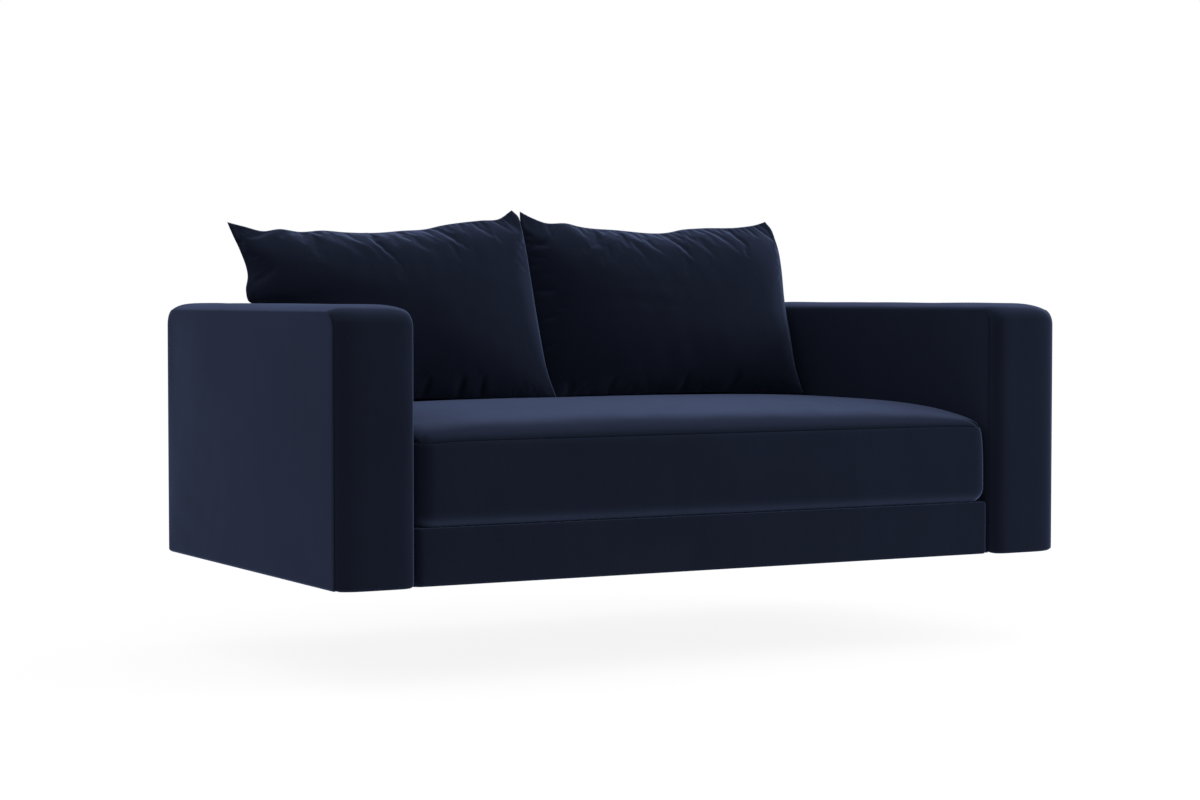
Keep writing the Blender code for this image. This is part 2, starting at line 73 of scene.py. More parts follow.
def new_material(name):
    """A material, its node tree and its shader."""
    material = bpy.data.materials.new(name)
    material.use_nodes = True
    return material, material.node_tree, material.node_tree.nodes["Principled BSDF"]


def new_object(name, data):
    """An object that stands in the scene."""
    thing = bpy.data.objects.new(name, data)
    bpy.context.collection.objects.link(thing)
    return thing


camera = new_object("camera", bpy.data.cameras.new("camera"))
camera.data.lens = CAMERA_LENS_MM
camera.data.sensor_width = 36.0
camera.location = CAMERA_PLACE
camera.rotation_euler = (math.pi / 2 - CAMERA_DIP, 0.0, CAMERA_TURN)
bpy.context.scene.camera = camera
bpy.context.scene.view_settings.view_transform = "Standard"

floor_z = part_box("arm_outer_left")[0].z - LEG_LENGTH
floor_mesh = bpy.data.meshes.new("floor")
floor_mesh.from_pydata([(x * FLOOR_HALF, y * FLOOR_HALF, floor_z)
                        for x, y in ((-1, -1), (1, -1), (1, 1), (-1, 1))], [], [(0, 1, 2, 3)])
floor = new_object("floor", floor_mesh)

paper, paper_tree, paper_shader = new_material("white_paper")
feed(paper_tree, paper_shader, {
    "Base Color": (0.14, 0.14, 0.14, 1.0), "Roughness": 0.9, "Specular IOR Level": 0.0,
    "Emission Color": WHITE, "Emission Strength": 0.88})
floor_mesh.materials.append(paper)

world = bpy.data.worlds.new("studio")
bpy.context.scene.world = world
world.use_nodes = True
feed(world.node_tree, world.node_tree.nodes["Background"], {"Color": WHITE, "Strength": 1.0})

# A wide soft light stands to the right of the camera, so that right-hand edges are the brighter.
SOFT_LIGHT_PLACE = (4.3, -2.4, 2.0)
soft_light = new_object("soft_light", bpy.data.lights.new("soft_light", "AREA"))
soft_light.data.shape = "RECTANGLE"
soft_light.data.size = 3.0
soft_light.data.size_y = 2.4
soft_light.data.energy = 95.0
soft_light.location = SOFT_LIGHT_PLACE
aim = math.atan2(SOFT_LIGHT_PLACE[1], SOFT_LIGHT_PLACE[0])
rise = math.atan2(SOFT_LIGHT_PLACE[2], math.hypot(*SOFT_LIGHT_PLACE[:2]))
soft_light.rotation_euler = (math.pi / 2 - rise, 0.0, aim + math.pi / 2)


# ---- outer arm panels ----
# A flat panel of cotton-backed velvet on the outside of each arm, sewn to the boxing strip round
# its front, top and back. Its hem rolls under the frame and is turned in, mitred at both ends.
CLOTH = 0.0025
HEM_RADIUS = 0.006
HEM_LIP = 0.025
SEAM_RADIUS = 0.030
OUTER_BULGE = 0.004
SEAM_ROLL = 0.0090      # the pile rolls down into a seam over this width
SEAM_DEPTH = 0.0021
SEAM_STEPS = np.array([0.0, 0.0004, 0.0010, 0.0018, 0.0029, 0.0044, 0.0064, 0.0090])
SEAM_SHADE = 0.0004     # painted shade: the pile's colour is halved at a seam, fading out over this distance
COARSE_WAVES = (0.0005, 0.30)   # height and length of the cloth's unevenness
FINE_WAVES = (0.00012, 0.06)
SETTLE_REACH = 0.04             # the unevenness starts this far from a seam
WAVES = 7
NAVY = (0.0069, 0.0088, 0.0166)
# Painted shade and painted sheen: by the Layer Weight facing share, the velvet's colour is darkened head on
# and brightened from a slant to edge on.
HEAD_ON_PAINTED_SHADE = (0.0, 0.22)    # shares of the way from straight on to edge on: from the darkest look
SLANT_PAINTED_SHEEN = (0.42, 0.64)   # to the pile's own colour, then lighter, and then to the bright
EDGE_PAINTED_SHEEN = (0.64, 0.79)    # edge-on look
NAVY_SHEEN = (0.40, 0.54, 1.0)
BACKING_NAVY = (0.020, 0.024, 0.036)

outer_low, outer_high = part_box("arm_outer_left")
FRONT_Y, BACK_Y = outer_low.y, outer_high.y
HEM_Z, SEAM_Z = outer_low.z, outer_high.z
OUTER_X = -outer_low.x - OUTER_BULGE
INNER_X = -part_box("arm_inner_left")[1].x
DEPTH = BACK_Y - FRONT_Y
ARM_HEIGHT = SEAM_Z - HEM_Z
ARM_WIDTH = OUTER_X - INNER_X


def stations(length, step):
    """Distances from 0 to length: close together at both seams, and step apart between them."""
    count = max(3, round((length - 2 * SEAM_STEPS[-1]) / step))
    middle = np.linspace(SEAM_STEPS[-1], length - SEAM_STEPS[-1], count)[1:-1]
    return np.concatenate([SEAM_STEPS, middle, length - SEAM_STEPS[::-1]])


def seam_sink(distance):
    """How far the cloth sinks at a distance from its seam: a quarter round, flat past the roll."""
    share = np.clip(1.0 - distance / SEAM_ROLL, 0.0, 1.0)
    return SEAM_DEPTH * (1.0 - np.sqrt(1.0 - share ** 2))


def wander(a, b, wavelength, seed):
    """Soft unevenness from about -1 to 1: sine waves of near one length, turned every way."""
    draw = np.random.default_rng(seed)
    turns = draw.uniform(0.0, 2 * math.pi, WAVES)
    shifts = draw.uniform(0.0, 2 * math.pi, WAVES)
    lengths = wavelength * draw.uniform(0.7, 1.5, WAVES)
    field = 0.0
    for turn, shift, length in zip(turns, shifts, lengths):
        field = field + np.sin((a * math.cos(turn) + b * math.sin(turn)) * 2 * math.pi / length + shift)
    return field / math.sqrt(2 * WAVES)


def grid_points(*axes):
    """Places on a grid, from one array for each axis that is spread over the whole grid."""
    return np.stack(np.broadcast_arrays(*axes), axis=-1)


def grid_quads(index):
    """Rows of four vertex numbers, one for each cell of a grid of vertex numbers."""
    cells = [index[:-1, :-1], index[1:, :-1], index[1:, 1:], index[:-1, 1:]]
    return np.stack(cells, axis=-1).reshape(-1, 4)


def rim_quads(ring, other):
    """Rows of four vertex numbers that join two closed rings."""
    return np.stack([np.roll(ring, -1), ring, other, np.roll(other, -1)], axis=-1)


def grid_rim(index):
    """Vertex numbers once round the edge of a grid."""
    return np.concatenate([index[:-1, 0], index[-1, :-1], index[:0:-1, -1], index[0, :0:-1]])


def make_piece(name, points, faces, flat, materials, face_material, painted_light):
    """One mesh object with outward faces. flat holds each vertex's place on the flat cloth.

    painted_light is each vertex's factor on the pile's colour: painted shade under 1 near seams, painted
    highlight over 1 at the seat cushion's foot.
    """
    a, b, c, d = (points[faces[:, k]] for k in range(4))
    volume = np.einsum("ij,ij->", a, np.cross(b, c)) + np.einsum("ij,ij->", a, np.cross(c, d))
    if volume < 0:
        faces = faces[:, ::-1]
    mesh = bpy.data.meshes.new(name)
    mesh.from_pydata(points.tolist(), [], faces.tolist())
    for material in materials:
        mesh.materials.append(material)
    mesh.polygons.foreach_set("material_index", np.asarray(face_material, dtype=np.int32))
    corner = np.zeros(len(mesh.loops), dtype=np.int32)
    mesh.loops.foreach_get("vertex_index", corner)
    cloth_map = mesh.uv_layers.new(name="cloth")
    cloth_map.data.foreach_set("uv", flat[corner].astype(np.float32).ravel())
    painted_light_layer = mesh.attributes.new("painted_light", "FLOAT", "POINT")
    painted_light_layer.data.foreach_set("value", painted_light.astype(np.float32))
    mesh.shade_smooth()
    mesh.update()
    return new_object(name, mesh)


def seam_painted_shade(to_seam, width=SEAM_SHADE):
    """Painted shade at a distance from a seam: the pile's colour times 0.5 at the seam, then 1."""
    return 1.0 - 0.5 * np.exp(-(to_seam / width) ** 2)


def both_skins(skin, *values):
    """The pile side and the wrong side of a panel, its flat places, and what else skin gives."""
    pile_side, _, other = skin(0.0, *values)
    wrong_side, flat, _ = skin(CLOTH, *values)
    return pile_side, wrong_side, flat, other


def cloth_panel(name, outer, inner, flat, to_seam=None):
    """A thin closed panel: pile side and wrong side on one grid, joined round their edge."""
    rows, columns = outer.shape[:2]
    face_side = np.arange(rows * columns).reshape(rows, columns)
    wrong_side = face_side + rows * columns
    pile = grid_quads(face_side)
    reverse = grid_quads(wrong_side)[:, ::-1]
    edge = rim_quads(grid_rim(face_side), grid_rim(wrong_side))
    points = np.concatenate([outer.reshape(-1, 3), inner.reshape(-1, 3)])
    places = np.tile(flat.reshape(-1, 2), (2, 1))
    slots = np.repeat([0, 1, 0], [len(pile), len(reverse), len(edge)])
    away = 1.0 if to_seam is None else to_seam
    # Painted shade along the panel's seams, kept in a vertex attribute.
    painted_light = seam_painted_shade(away + 0 * outer[..., 0]).ravel()
    return make_piece(name, points, np.concatenate([pile, reverse, edge]), places,
                      [cover_velvet, backing], slots, np.tile(painted_light, 2))


def add_node(tree, kind, inputs, operation=None):
    """A new node with its inputs fed, and its operation if it is one that calculates."""
    node = tree.nodes.new(kind)
    if operation:
        node.operation = operation
    return feed(tree, node, inputs)


def brushed_pile_group():
    """Node group: velvet pile, with soft patches where it was brushed, and fine upright fibres."""
    tree = bpy.data.node_groups.new("brushed_pile", "ShaderNodeTree")
    for way, name, kind, start in (
            ("INPUT", "Vector", "Vector", None), ("INPUT", "Colour", "Color", None),
            ("INPUT", "Patch Scale", "Float", 6.0), ("INPUT", "Patch Contrast", "Float", 0.1),
            ("INPUT", "Fibre Scale", "Float", 900.0), ("INPUT", "Fibre Contrast", "Float", 0.2),
            ("INPUT", "Painted Light", "Float", 1.0), ("OUTPUT", "Colour", "Color", None),
            ("OUTPUT", "Roughness", "Float", None), ("OUTPUT", "Height", "Float", None)):
        socket = tree.interface.new_socket(name=name, in_out=way, socket_type="NodeSocket" + kind)
        if start is not None:
            socket.default_value = start
    given = tree.nodes.new("NodeGroupInput").outputs
    place = given["Vector"]

    patches = add_node(tree, "ShaderNodeTexNoise", {
        "Vector": place, "Scale": given["Patch Scale"], "Detail": 3.0, "Roughness": 0.45, "Distortion": 0.8})
    long_ways = add_node(tree, "ShaderNodeMapping", {"Vector": place, "Scale": (1.0, 1.0, 0.22)})
    strokes = add_node(tree, "ShaderNodeTexNoise", {
        "Vector": long_ways.outputs["Vector"], "Scale": 26.0, "Detail": 2.0, "Roughness": 0.5})
    fibres = add_node(tree, "ShaderNodeTexNoise", {
        "Vector": place, "Scale": given["Fibre Scale"], "Detail": 2.0, "Roughness": 0.6}).outputs["Fac"]
    brushed = add_node(tree, "ShaderNodeMix", {
        "Factor": 0.35, "A": patches.outputs["Fac"], "B": strokes.outputs["Fac"]}).outputs["Result"]

    # The painted shade and painted highlight from the vertices' attribute scale the pile's colour.
    light = given["Painted Light"]
    for texture, contrast in ((brushed, "Patch Contrast"), (fibres, "Fibre Contrast")):
        centred = add_node(tree, "ShaderNodeMapRange", {
            "Value": texture, "From Min": 0.30, "From Max": 0.70, "To Min": -1.0})
        gain = add_node(tree, "ShaderNodeMath", {
            0: centred.outputs["Result"], 1: given[contrast], 2: 1.0}, "MULTIPLY_ADD")
        light = add_node(tree, "ShaderNodeMath", {
            0: light, 1: gain.outputs["Value"]}, "MULTIPLY").outputs["Value"]
    colour = add_node(tree, "ShaderNodeVectorMath", {"Vector": given["Colour"], "Scale": light}, "SCALE")
    rough = add_node(tree, "ShaderNodeMapRange", {"Value": brushed, "To Min": 0.96, "To Max": 0.80})
    height = add_node(tree, "ShaderNodeMath", {0: brushed, 1: 6.0, 2: fibres}, "MULTIPLY_ADD")
    add_node(tree, "NodeGroupOutput", {
        "Colour": colour.outputs["Vector"], "Roughness": rough.outputs["Result"],
        "Height": height.outputs["Value"]})
    return tree


brushed_pile = brushed_pile_group()


def velvet(name, colour, patch_scale, straight_on, slanting, edge_on):
    """Navy velvet with painted shade and painted sheen in its colour: dark where the surface faces the eye,
    and bright where it is seen edge on.

    straight_on, slanting and edge_on each multiply the pile's colour from their own angle on: painted shade
    head on, painted sheen at a slant and edge on.
    """
    material, tree, shader = new_material(name)
    feed(tree, shader, {"Sheen Weight": 0.10, "Sheen Roughness": 0.50,
                        "Sheen Tint": (*NAVY_SHEEN, 1.0), "Specular IOR Level": 0.0})
    place = tree.nodes.new("ShaderNodeTexCoord")
    painted_light = tree.nodes.new("ShaderNodeAttribute")
    painted_light.attribute_name = "painted_light"
    pile = tree.nodes.new("ShaderNodeGroup")
    pile.node_tree = brushed_pile
    feed(tree, pile, {"Vector": place.outputs["Object"], "Painted Light": painted_light.outputs["Fac"],
                      "Colour": (*colour, 1.0), "Patch Scale": patch_scale})
    bump = add_node(tree, "ShaderNodeBump", {
        "Height": pile.outputs["Height"], "Strength": 0.25, "Distance": 0.0001})
    sheen = add_node(tree, "ShaderNodeLayerWeight", {"Normal": bump.outputs["Normal"]})
    light = pile.outputs["Colour"]
    # Painted shade head on, and painted sheen at a slant and edge on, multiplied into the base colour.
    for (start, end), first, last in ((HEAD_ON_PAINTED_SHADE, straight_on, 1.0), (SLANT_PAINTED_SHEEN, 1.0, slanting),
                                      (EDGE_PAINTED_SHEEN, 1.0, edge_on / slanting)):
        gain = add_node(tree, "ShaderNodeMapRange", {
            "Value": sheen.outputs["Facing"], "From Min": start, "From Max": end,
            "To Min": first, "To Max": last})
        gain.interpolation_type = "SMOOTHSTEP"
        light = add_node(tree, "ShaderNodeVectorMath", {
            "Vector": light, "Scale": gain.outputs["Result"]}, "SCALE").outputs["Vector"]
    feed(tree, shader, {"Base Color": light, "Roughness": pile.outputs["Roughness"],
                        "Normal": bump.outputs["Normal"]})
    return material


def woven_backing():
    """The wrong side of the velvet: a close plain weave, worked out from the cloth's own map."""
    material, tree, shader = new_material("velvet_backing")
    cloth_map = tree.nodes.new("ShaderNodeUVMap")
    cloth_map.uv_map = "cloth"
    threads = []
    for direction in ("X", "Y"):
        thread = add_node(tree, "ShaderNodeTexWave", {
            "Vector": cloth_map.outputs["UV"], "Scale": 400.0, "Distortion": 1.5, "Detail": 1.0})
        thread.bands_direction = direction
        threads.append(thread.outputs["Fac"])
    weave = add_node(tree, "ShaderNodeMath", {0: threads[0], 1: threads[1]}, "MULTIPLY").outputs["Value"]
    shade = tree.nodes.new("ShaderNodeMix")
    shade.data_type = "RGBA"
    feed(tree, shade, {"Factor": weave, "A": (*(0.6 * c for c in BACKING_NAVY), 1.0),
                       "B": (*(1.5 * c for c in BACKING_NAVY), 1.0)})
    bump = add_node(tree, "ShaderNodeBump", {"Height": weave, "Strength": 0.4, "Distance": 0.0003})
    feed(tree, shader, {"Base Color": shade.outputs["Result"], "Normal": bump.outputs["Normal"],
                        "Roughness": 0.85, "Specular IOR Level": 0.2})
    return material


cover_velvet = velvet("cover_velvet", NAVY, 5.0, straight_on=0.8, slanting=1.3, edge_on=4.4)
backing = woven_backing()


def arm_panel_skin(inset, bulge, seed):
    """One skin of a flat arm panel: (depth from its face, y, height), and its flat places.

    Rows run from the top seam down, round the hem's quarter circle and along the turned lip. The
    top corners are quarter circles, and the lip is cut in at 45 degrees at both ends.
    """
    turn = np.linspace(math.pi / 2, 0.0, 15)
    straight = np.linspace(SEAM_RADIUS, ARM_HEIGHT - HEM_RADIUS, 44)[1:-1]
    curl = np.linspace(0.0, math.pi / 2, 9)
    lip = HEM_LIP * np.linspace(0.0, 1.0, 6)[1:]
    drop = np.concatenate([SEAM_RADIUS * (1 - np.sin(turn)), straight,
                           ARM_HEIGHT - HEM_RADIUS * (1 - np.sin(curl)), 0 * lip + ARM_HEIGHT])
    cut_in = np.concatenate([SEAM_RADIUS * (1 - np.cos(turn)), 0 * straight,
                             HEM_RADIUS * (1 - np.cos(curl)), HEM_RADIUS + lip])[:, None]
    under = np.concatenate([0 * turn, 0 * straight, HEM_RADIUS * (1 - np.cos(curl)), HEM_RADIUS + lip])
    facing = np.concatenate([0 * turn, 0 * straight, curl, 0 * lip + math.pi / 2])[:, None]
    share = stations(DEPTH, 0.012) / DEPTH
    y = cut_in + (DEPTH - 2 * cut_in) * share
    from_end = np.minimum(y - cut_in, DEPTH - cut_in - y)
    corner_drop = np.minimum(drop, SEAM_RADIUS)[:, None]
    reach = np.hypot(np.maximum(SEAM_RADIUS - np.minimum(y, DEPTH - y), 0.0), SEAM_RADIUS - corner_drop)
    from_top = np.where(drop[:, None] < SEAM_RADIUS, SEAM_RADIUS - reach, drop[:, None])
    distance = np.minimum(from_end, np.maximum(from_top, 0.0))
    sink = seam_sink(distance) if inset == 0.0 else 0.0
    height = np.clip((ARM_HEIGHT - drop) / ARM_HEIGHT, 0.0, 1.0)[:, None]
    puff = bulge * np.sin(math.pi * height) * np.sin(math.pi * share) ** 0.7
    settle = np.minimum(distance / SETTLE_REACH, 1.0)
    for order, (rise, wavelength) in enumerate((COARSE_WAVES, FINE_WAVES)):
        puff = puff + rise * settle * wander(y, drop[:, None], wavelength, seed + order)
    inward = inset + sink - puff * np.cos(facing)
    depth = under[:, None] + inward * np.cos(facing)
    z = HEM_Z + ARM_HEIGHT - drop[:, None] + (inset + sink) * np.sin(facing)
    length = np.concatenate([drop[:-lip.size], ARM_HEIGHT + lip])[:, None]
    return grid_points(depth, FRONT_Y + y, z), grid_points(y, -length), distance


PANEL_LENGTH = ARM_HEIGHT - HEM_RADIUS * (2 - math.pi / 2) + HEM_LIP
for side, sign, seed in (("left", -1, 11), ("right", 1, 12)):
    pile_side, wrong_side, *rest = both_skins(arm_panel_skin, OUTER_BULGE, seed)
    for skin in (pile_side, wrong_side):
        skin[..., 0] = sign * (OUTER_X - skin[..., 0])
    piece = cloth_panel("outer_arm_panel_" + side, pile_side, wrong_side, *rest)
    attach(piece, "root")
    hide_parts("arm_outer_" + side)


# ---- inner arm panels ----
# The same velvet panel on the seat side of each arm, drawn in a little against the frame. The seat
# cushion and the back cushions hide most of it.
INNER_HOLLOW = 0.0015
INNER_EDGE_BACK = 0.006     # the strip wraps round the front edge, so the panel starts farther back
for side, sign, seed in (("left", -1, 21), ("right", 1, 22)):
    pile_side, wrong_side, *rest = both_skins(arm_panel_skin, -INNER_HOLLOW, seed)
    for skin in (pile_side, wrong_side):
        skin[..., 0] = sign * (INNER_X + skin[..., 0])
        skin[..., 1] += INNER_EDGE_BACK * (BACK_Y - skin[..., 1]) / DEPTH
    piece = cloth_panel("inner_arm_panel_" + side, pile_side, wrong_side, *rest)
    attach(piece, "root")
    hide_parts("arm_inner_" + side)


# ---- arm boxing strips ----
# One length of velvet for each arm, from the front hem up the front, over the top and down the
# back. It swells between its two seams, most of all along the top, over the arm's padding.
CROWN_TOP = 0.012
CROWN_FRONT = 0.016
CROWN_BACK = 0.012
CROWN_ROUNDING = 0.004
CROWN_DROOP = 0.042
CROWN_POWER = 4.0
INNER_EDGE_POWER = 8.0
INNER_EDGE_ROUND = 0.010
SEAM_LAP = 0.0005           # the strips' edges reach this far into the panels they are sewn to


def row_lengths(y, z):
    """The length along the cloth to each row of a grid, in its middle column."""
    middle = y.shape[1] // 2
    steps = np.hypot(np.diff(y[:, middle]), np.diff(z[:, middle]))
    return np.concatenate([[0.0], np.cumsum(steps)])


def strip_path(front, back, top, corner, droop, inset):
    """Cloth wrapped round the arm in side view: y, z and length along it, a row for each point.

    The path is straight but for quarter circles: hem, front corner, back corner, hem. droop makes
    the front corner longer than it is high, and inset draws the path inwards.
    """
    hem = HEM_RADIUS - inset
    bend = corner - inset
    quarter = np.linspace(0.0, math.pi / 2, 9)[:, None]
    turn = np.linspace(0.0, math.pi / 2, 19)[:, None]
    rise = np.linspace(0.0, 1.0, 40)[1:-1, None]
    run = np.linspace(0.0, 1.0, 62)[1:-1, None]
    lip = np.linspace(1.0, 0.0, 5)[:-1, None] * HEM_LIP + HEM_RADIUS
    one = np.ones_like(front)[None, :]
    low, high = HEM_RADIUS, top - corner
    y = np.concatenate([
        lip * one, front + HEM_RADIUS - hem * np.sin(quarter), (front + inset) * one + 0 * rise,
        front + corner + droop - (bend + droop) * np.cos(turn),
        front + corner + droop + (back - front - 2 * corner - droop) * run,
        back - corner + bend * np.sin(turn), (back - inset) * one + 0 * rise,
        back - HEM_RADIUS + hem * np.cos(quarter), (DEPTH - lip[::-1]) * one])
    z = np.concatenate([
        inset * one + 0 * lip, HEM_RADIUS - hem * np.cos(quarter), low + (high - low) * rise,
        high + bend * np.sin(turn), (top - inset) * one + 0 * run, high + bend * np.cos(turn),
        low + (high - low) * (1 - rise), HEM_RADIUS - hem * np.sin(quarter), inset * one + 0 * lip])
    return y, z, row_lengths(y, z)


def strip_skin(inset, sign, seed):
    """One skin of an arm's strip, crowned by 1 - |across| ** power, and its flat places."""
    across = 2 * stations(ARM_WIDTH, 0.006) / ARM_WIDTH - 1
    crown = 1 - np.abs(across) ** CROWN_POWER
    front_crown = 1 - np.abs(across) ** np.where(across > 0, INNER_EDGE_POWER, CROWN_POWER)
    from_seam = (1 - np.abs(across)) * ARM_WIDTH / 2
    turning = np.clip(1 - (1 - across) * ARM_WIDTH / 2 / INNER_EDGE_ROUND, 0.0, 1.0)
    sink = seam_sink(from_seam) if inset == 0.0 else inset + 0 * from_seam
    front = INNER_EDGE_BACK * (1 - np.sqrt(1 - turning ** 2)) - CROWN_FRONT * front_crown
    back = DEPTH + CROWN_BACK * crown
    top = ARM_HEIGHT + CROWN_TOP * crown
    corner = SEAM_RADIUS + CROWN_ROUNDING * crown
    y, z, length = strip_path(front, back, top, corner, CROWN_DROOP * crown, sink)
    edge_y, edge_z, _ = strip_path(np.zeros(1), back[:1], top[:1], corner[:1], np.zeros(1), np.zeros(1))
    mitre = np.where(edge_z < HEM_RADIUS, np.minimum(edge_y, DEPTH - edge_y), 0.0)
    edge = CLOTH - SEAM_LAP + mitre
    x = -OUTER_X + edge + (ARM_WIDTH - 2 * edge) * (across + 1) / 2
    uneven = 0.0006 * crown * wander(length[:, None], across * ARM_WIDTH / 2, 0.22, seed)
    above = z > HEM_RADIUS
    y = y + np.where(above, uneven, 0.0) * np.where((z < ARM_HEIGHT - SEAM_RADIUS), 1.0, 0.0)
    z = z + np.where(above & (z > ARM_HEIGHT - 0.001), uneven, 0.0)
    flat = grid_points(across * ARM_WIDTH / 2, length[:, None])
    return grid_points(-sign * x, FRONT_Y + y, HEM_Z + z), flat, from_seam


for side, sign, seed in (("left", -1, 31), ("right", 1, 32)):
    piece = cloth_panel("arm_strip_" + side, *both_skins(strip_skin, sign, seed))
    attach(piece, "root")
    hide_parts("arm_band_" + side)


# ---- front rail ----
# A low velvet panel between the arms. It rolls over the top of the rail to meet the deck, turns
# back at both ends beside the arms, and is turned in underneath like the arms' hems.
RAIL_CORNER = 0.006
RAIL_END_ROUND = 0.014
RAIL_FORWARD = 0.009
RAIL_TUCK = 0.014
RAIL_BULGE = 0.003
rail_low, rail_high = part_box("front_rail")
RAIL_FRONT = rail_low.y + RAIL_BULGE - RAIL_FORWARD
RAIL_HEIGHT = rail_high.z - HEM_Z
RAIL_END = rail_high.x
RAIL_FLANGE = rail_high.y


def rail_skin(inset, seed):
    """One skin of the rail: its profile, stepped back round a quarter circle at both ends."""
    curve = np.linspace(math.pi / 2, 0.0, 9)
    middle = np.linspace(1.0, -1.0, 90)[1:-1]
    straight = RAIL_END - RAIL_END_ROUND
    tuck = RAIL_TUCK * np.linspace(1.0, 0.0, 4)[:-1]
    curve = np.concatenate([0 * tuck + math.pi / 2, curve])
    turned = (RAIL_END_ROUND - inset) * np.sin(curve)
    x = np.concatenate([-straight - turned, -straight * middle, straight + turned[::-1]])
    step = RAIL_END_ROUND * (1 - np.cos(curve)) + np.concatenate([tuck, np.zeros(9)])
    step = np.concatenate([step, 0 * middle, step[::-1]])
    skin = np.concatenate([inset * np.cos(curve), 0 * middle + inset, inset * np.cos(curve[::-1])])
    quarter = np.linspace(0.0, math.pi / 2, 8)[:, None]
    rise = np.linspace(0.0, 1.0, 16)[1:-1, None]
    lip = HEM_RADIUS + HEM_LIP * np.linspace(1.0, 0.0, 5)[:-1, None]
    flange = np.linspace(0.0, 1.0, 6)[1:, None]
    hem, bend = HEM_RADIUS - skin, RAIL_CORNER - skin
    top = RAIL_HEIGHT + 0 * step
    low, high = HEM_RADIUS, top - RAIL_CORNER
    bulge = RAIL_BULGE * np.sin(math.pi * rise) * (1 - (x / RAIL_END) ** 6)
    bulge = bulge + 0.0004 * np.sin(math.pi * rise) * wander(x, RAIL_HEIGHT * rise, 0.16, seed)
    depth = RAIL_FLANGE - RAIL_FRONT
    y = np.concatenate([
        lip + 0 * skin, step + HEM_RADIUS - hem * np.sin(quarter), step + skin - bulge,
        step + RAIL_CORNER - bend * np.cos(quarter),
        (step + RAIL_CORNER) * (1 - flange) + depth * flange])
    z = np.concatenate([
        skin + 0 * lip, HEM_RADIUS - hem * np.cos(quarter), low + (high - low) * rise + 0 * skin,
        high + bend * np.sin(quarter), top - skin + 0 * flange])
    flat = grid_points(x, row_lengths(y, z)[:, None])
    return grid_points(x, RAIL_FRONT + y, HEM_Z + z), flat, RAIL_HEIGHT - z


skins = both_skins(rail_skin, 41)
piece = cloth_panel("front_rail_panel", *skins)
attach(piece, "root")
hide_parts("front_rail")


# ---- seat deck and back ----
# The flat deck that the seat cushion lies on, and the low back behind the back cushions: a
# sloping inner panel, a narrow strip along the top, and an outer panel with a turned hem.
def plain_panel(box, low_edge, high_edge, thickness, columns, rows):
    """A plain panel across a box, between two level edges at (y, z), and its flat places."""
    width = box[1].x - box[0].x
    run, climb = high_edge[0] - low_edge[0], high_edge[1] - low_edge[1]
    along = width * np.linspace(0.0, 1.0, columns)[:, None]
    up = np.linspace(0.0, 1.0, rows)
    skin = grid_points(box[0].x + along, low_edge[0] + run * up, low_edge[1] + climb * up)
    length = math.hypot(run, climb)
    return skin, skin + np.array(thickness), grid_points(along, length * up), (width, length)


deck_low, deck_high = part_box("seat_deck")
*skins, cut = plain_panel((deck_low, deck_high), (deck_low.y, deck_high.z),
                          (deck_high.y, deck_high.z), (0.0, 0.0, -CLOTH), 60, 32)
piece = cloth_panel("seat_deck_panel", *skins)
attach(piece, "root")
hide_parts("seat_deck")

back_low, back_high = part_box("back_inner")
*skins, cut = plain_panel((back_low, back_high), (back_low.y, back_low.z),
                          (back_high.y - CLOTH, back_high.z), (0.0, CLOTH, 0.0), 60, 24)
piece = cloth_panel("inner_back_panel", *skins)
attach(piece, "root")
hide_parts("back_inner")


def back_strip_skin(inset, seed):
    """One skin of the strip along the back's top edge; its crown dies out towards the arms."""
    low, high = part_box("back_band")
    width = high.y - low.y
    reach = high.x
    x = reach * np.sin(np.linspace(-math.pi / 2, math.pi / 2, 90))
    from_front = stations(width, 0.005)[:, None]
    across = 2 * from_front / width - 1
    crown = CROWN_TOP * (1 - np.abs(across) ** CROWN_POWER) * (1 - (x / reach) ** 8)
    uneven = 0.0005 * (1 - np.abs(across)) * wander(x, from_front, 0.18, seed)
    sink = seam_sink(np.minimum(from_front, width - from_front)) if inset == 0.0 else inset
    z = SEAM_Z + crown + uneven - sink
    return grid_points(x, low.y + from_front, z), grid_points(x, from_front), (2 * reach, width)


*skins, cut = both_skins(back_strip_skin, 51)
piece = cloth_panel("back_strip", *skins)
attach(piece, "root")
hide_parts("back_band")


BACK_TUCK = 0.010           # the outer back's side edges turn in this far beside the arms
BACK_TUCK_SPREAD = 0.0012   # and press this far into the arms' inner panels


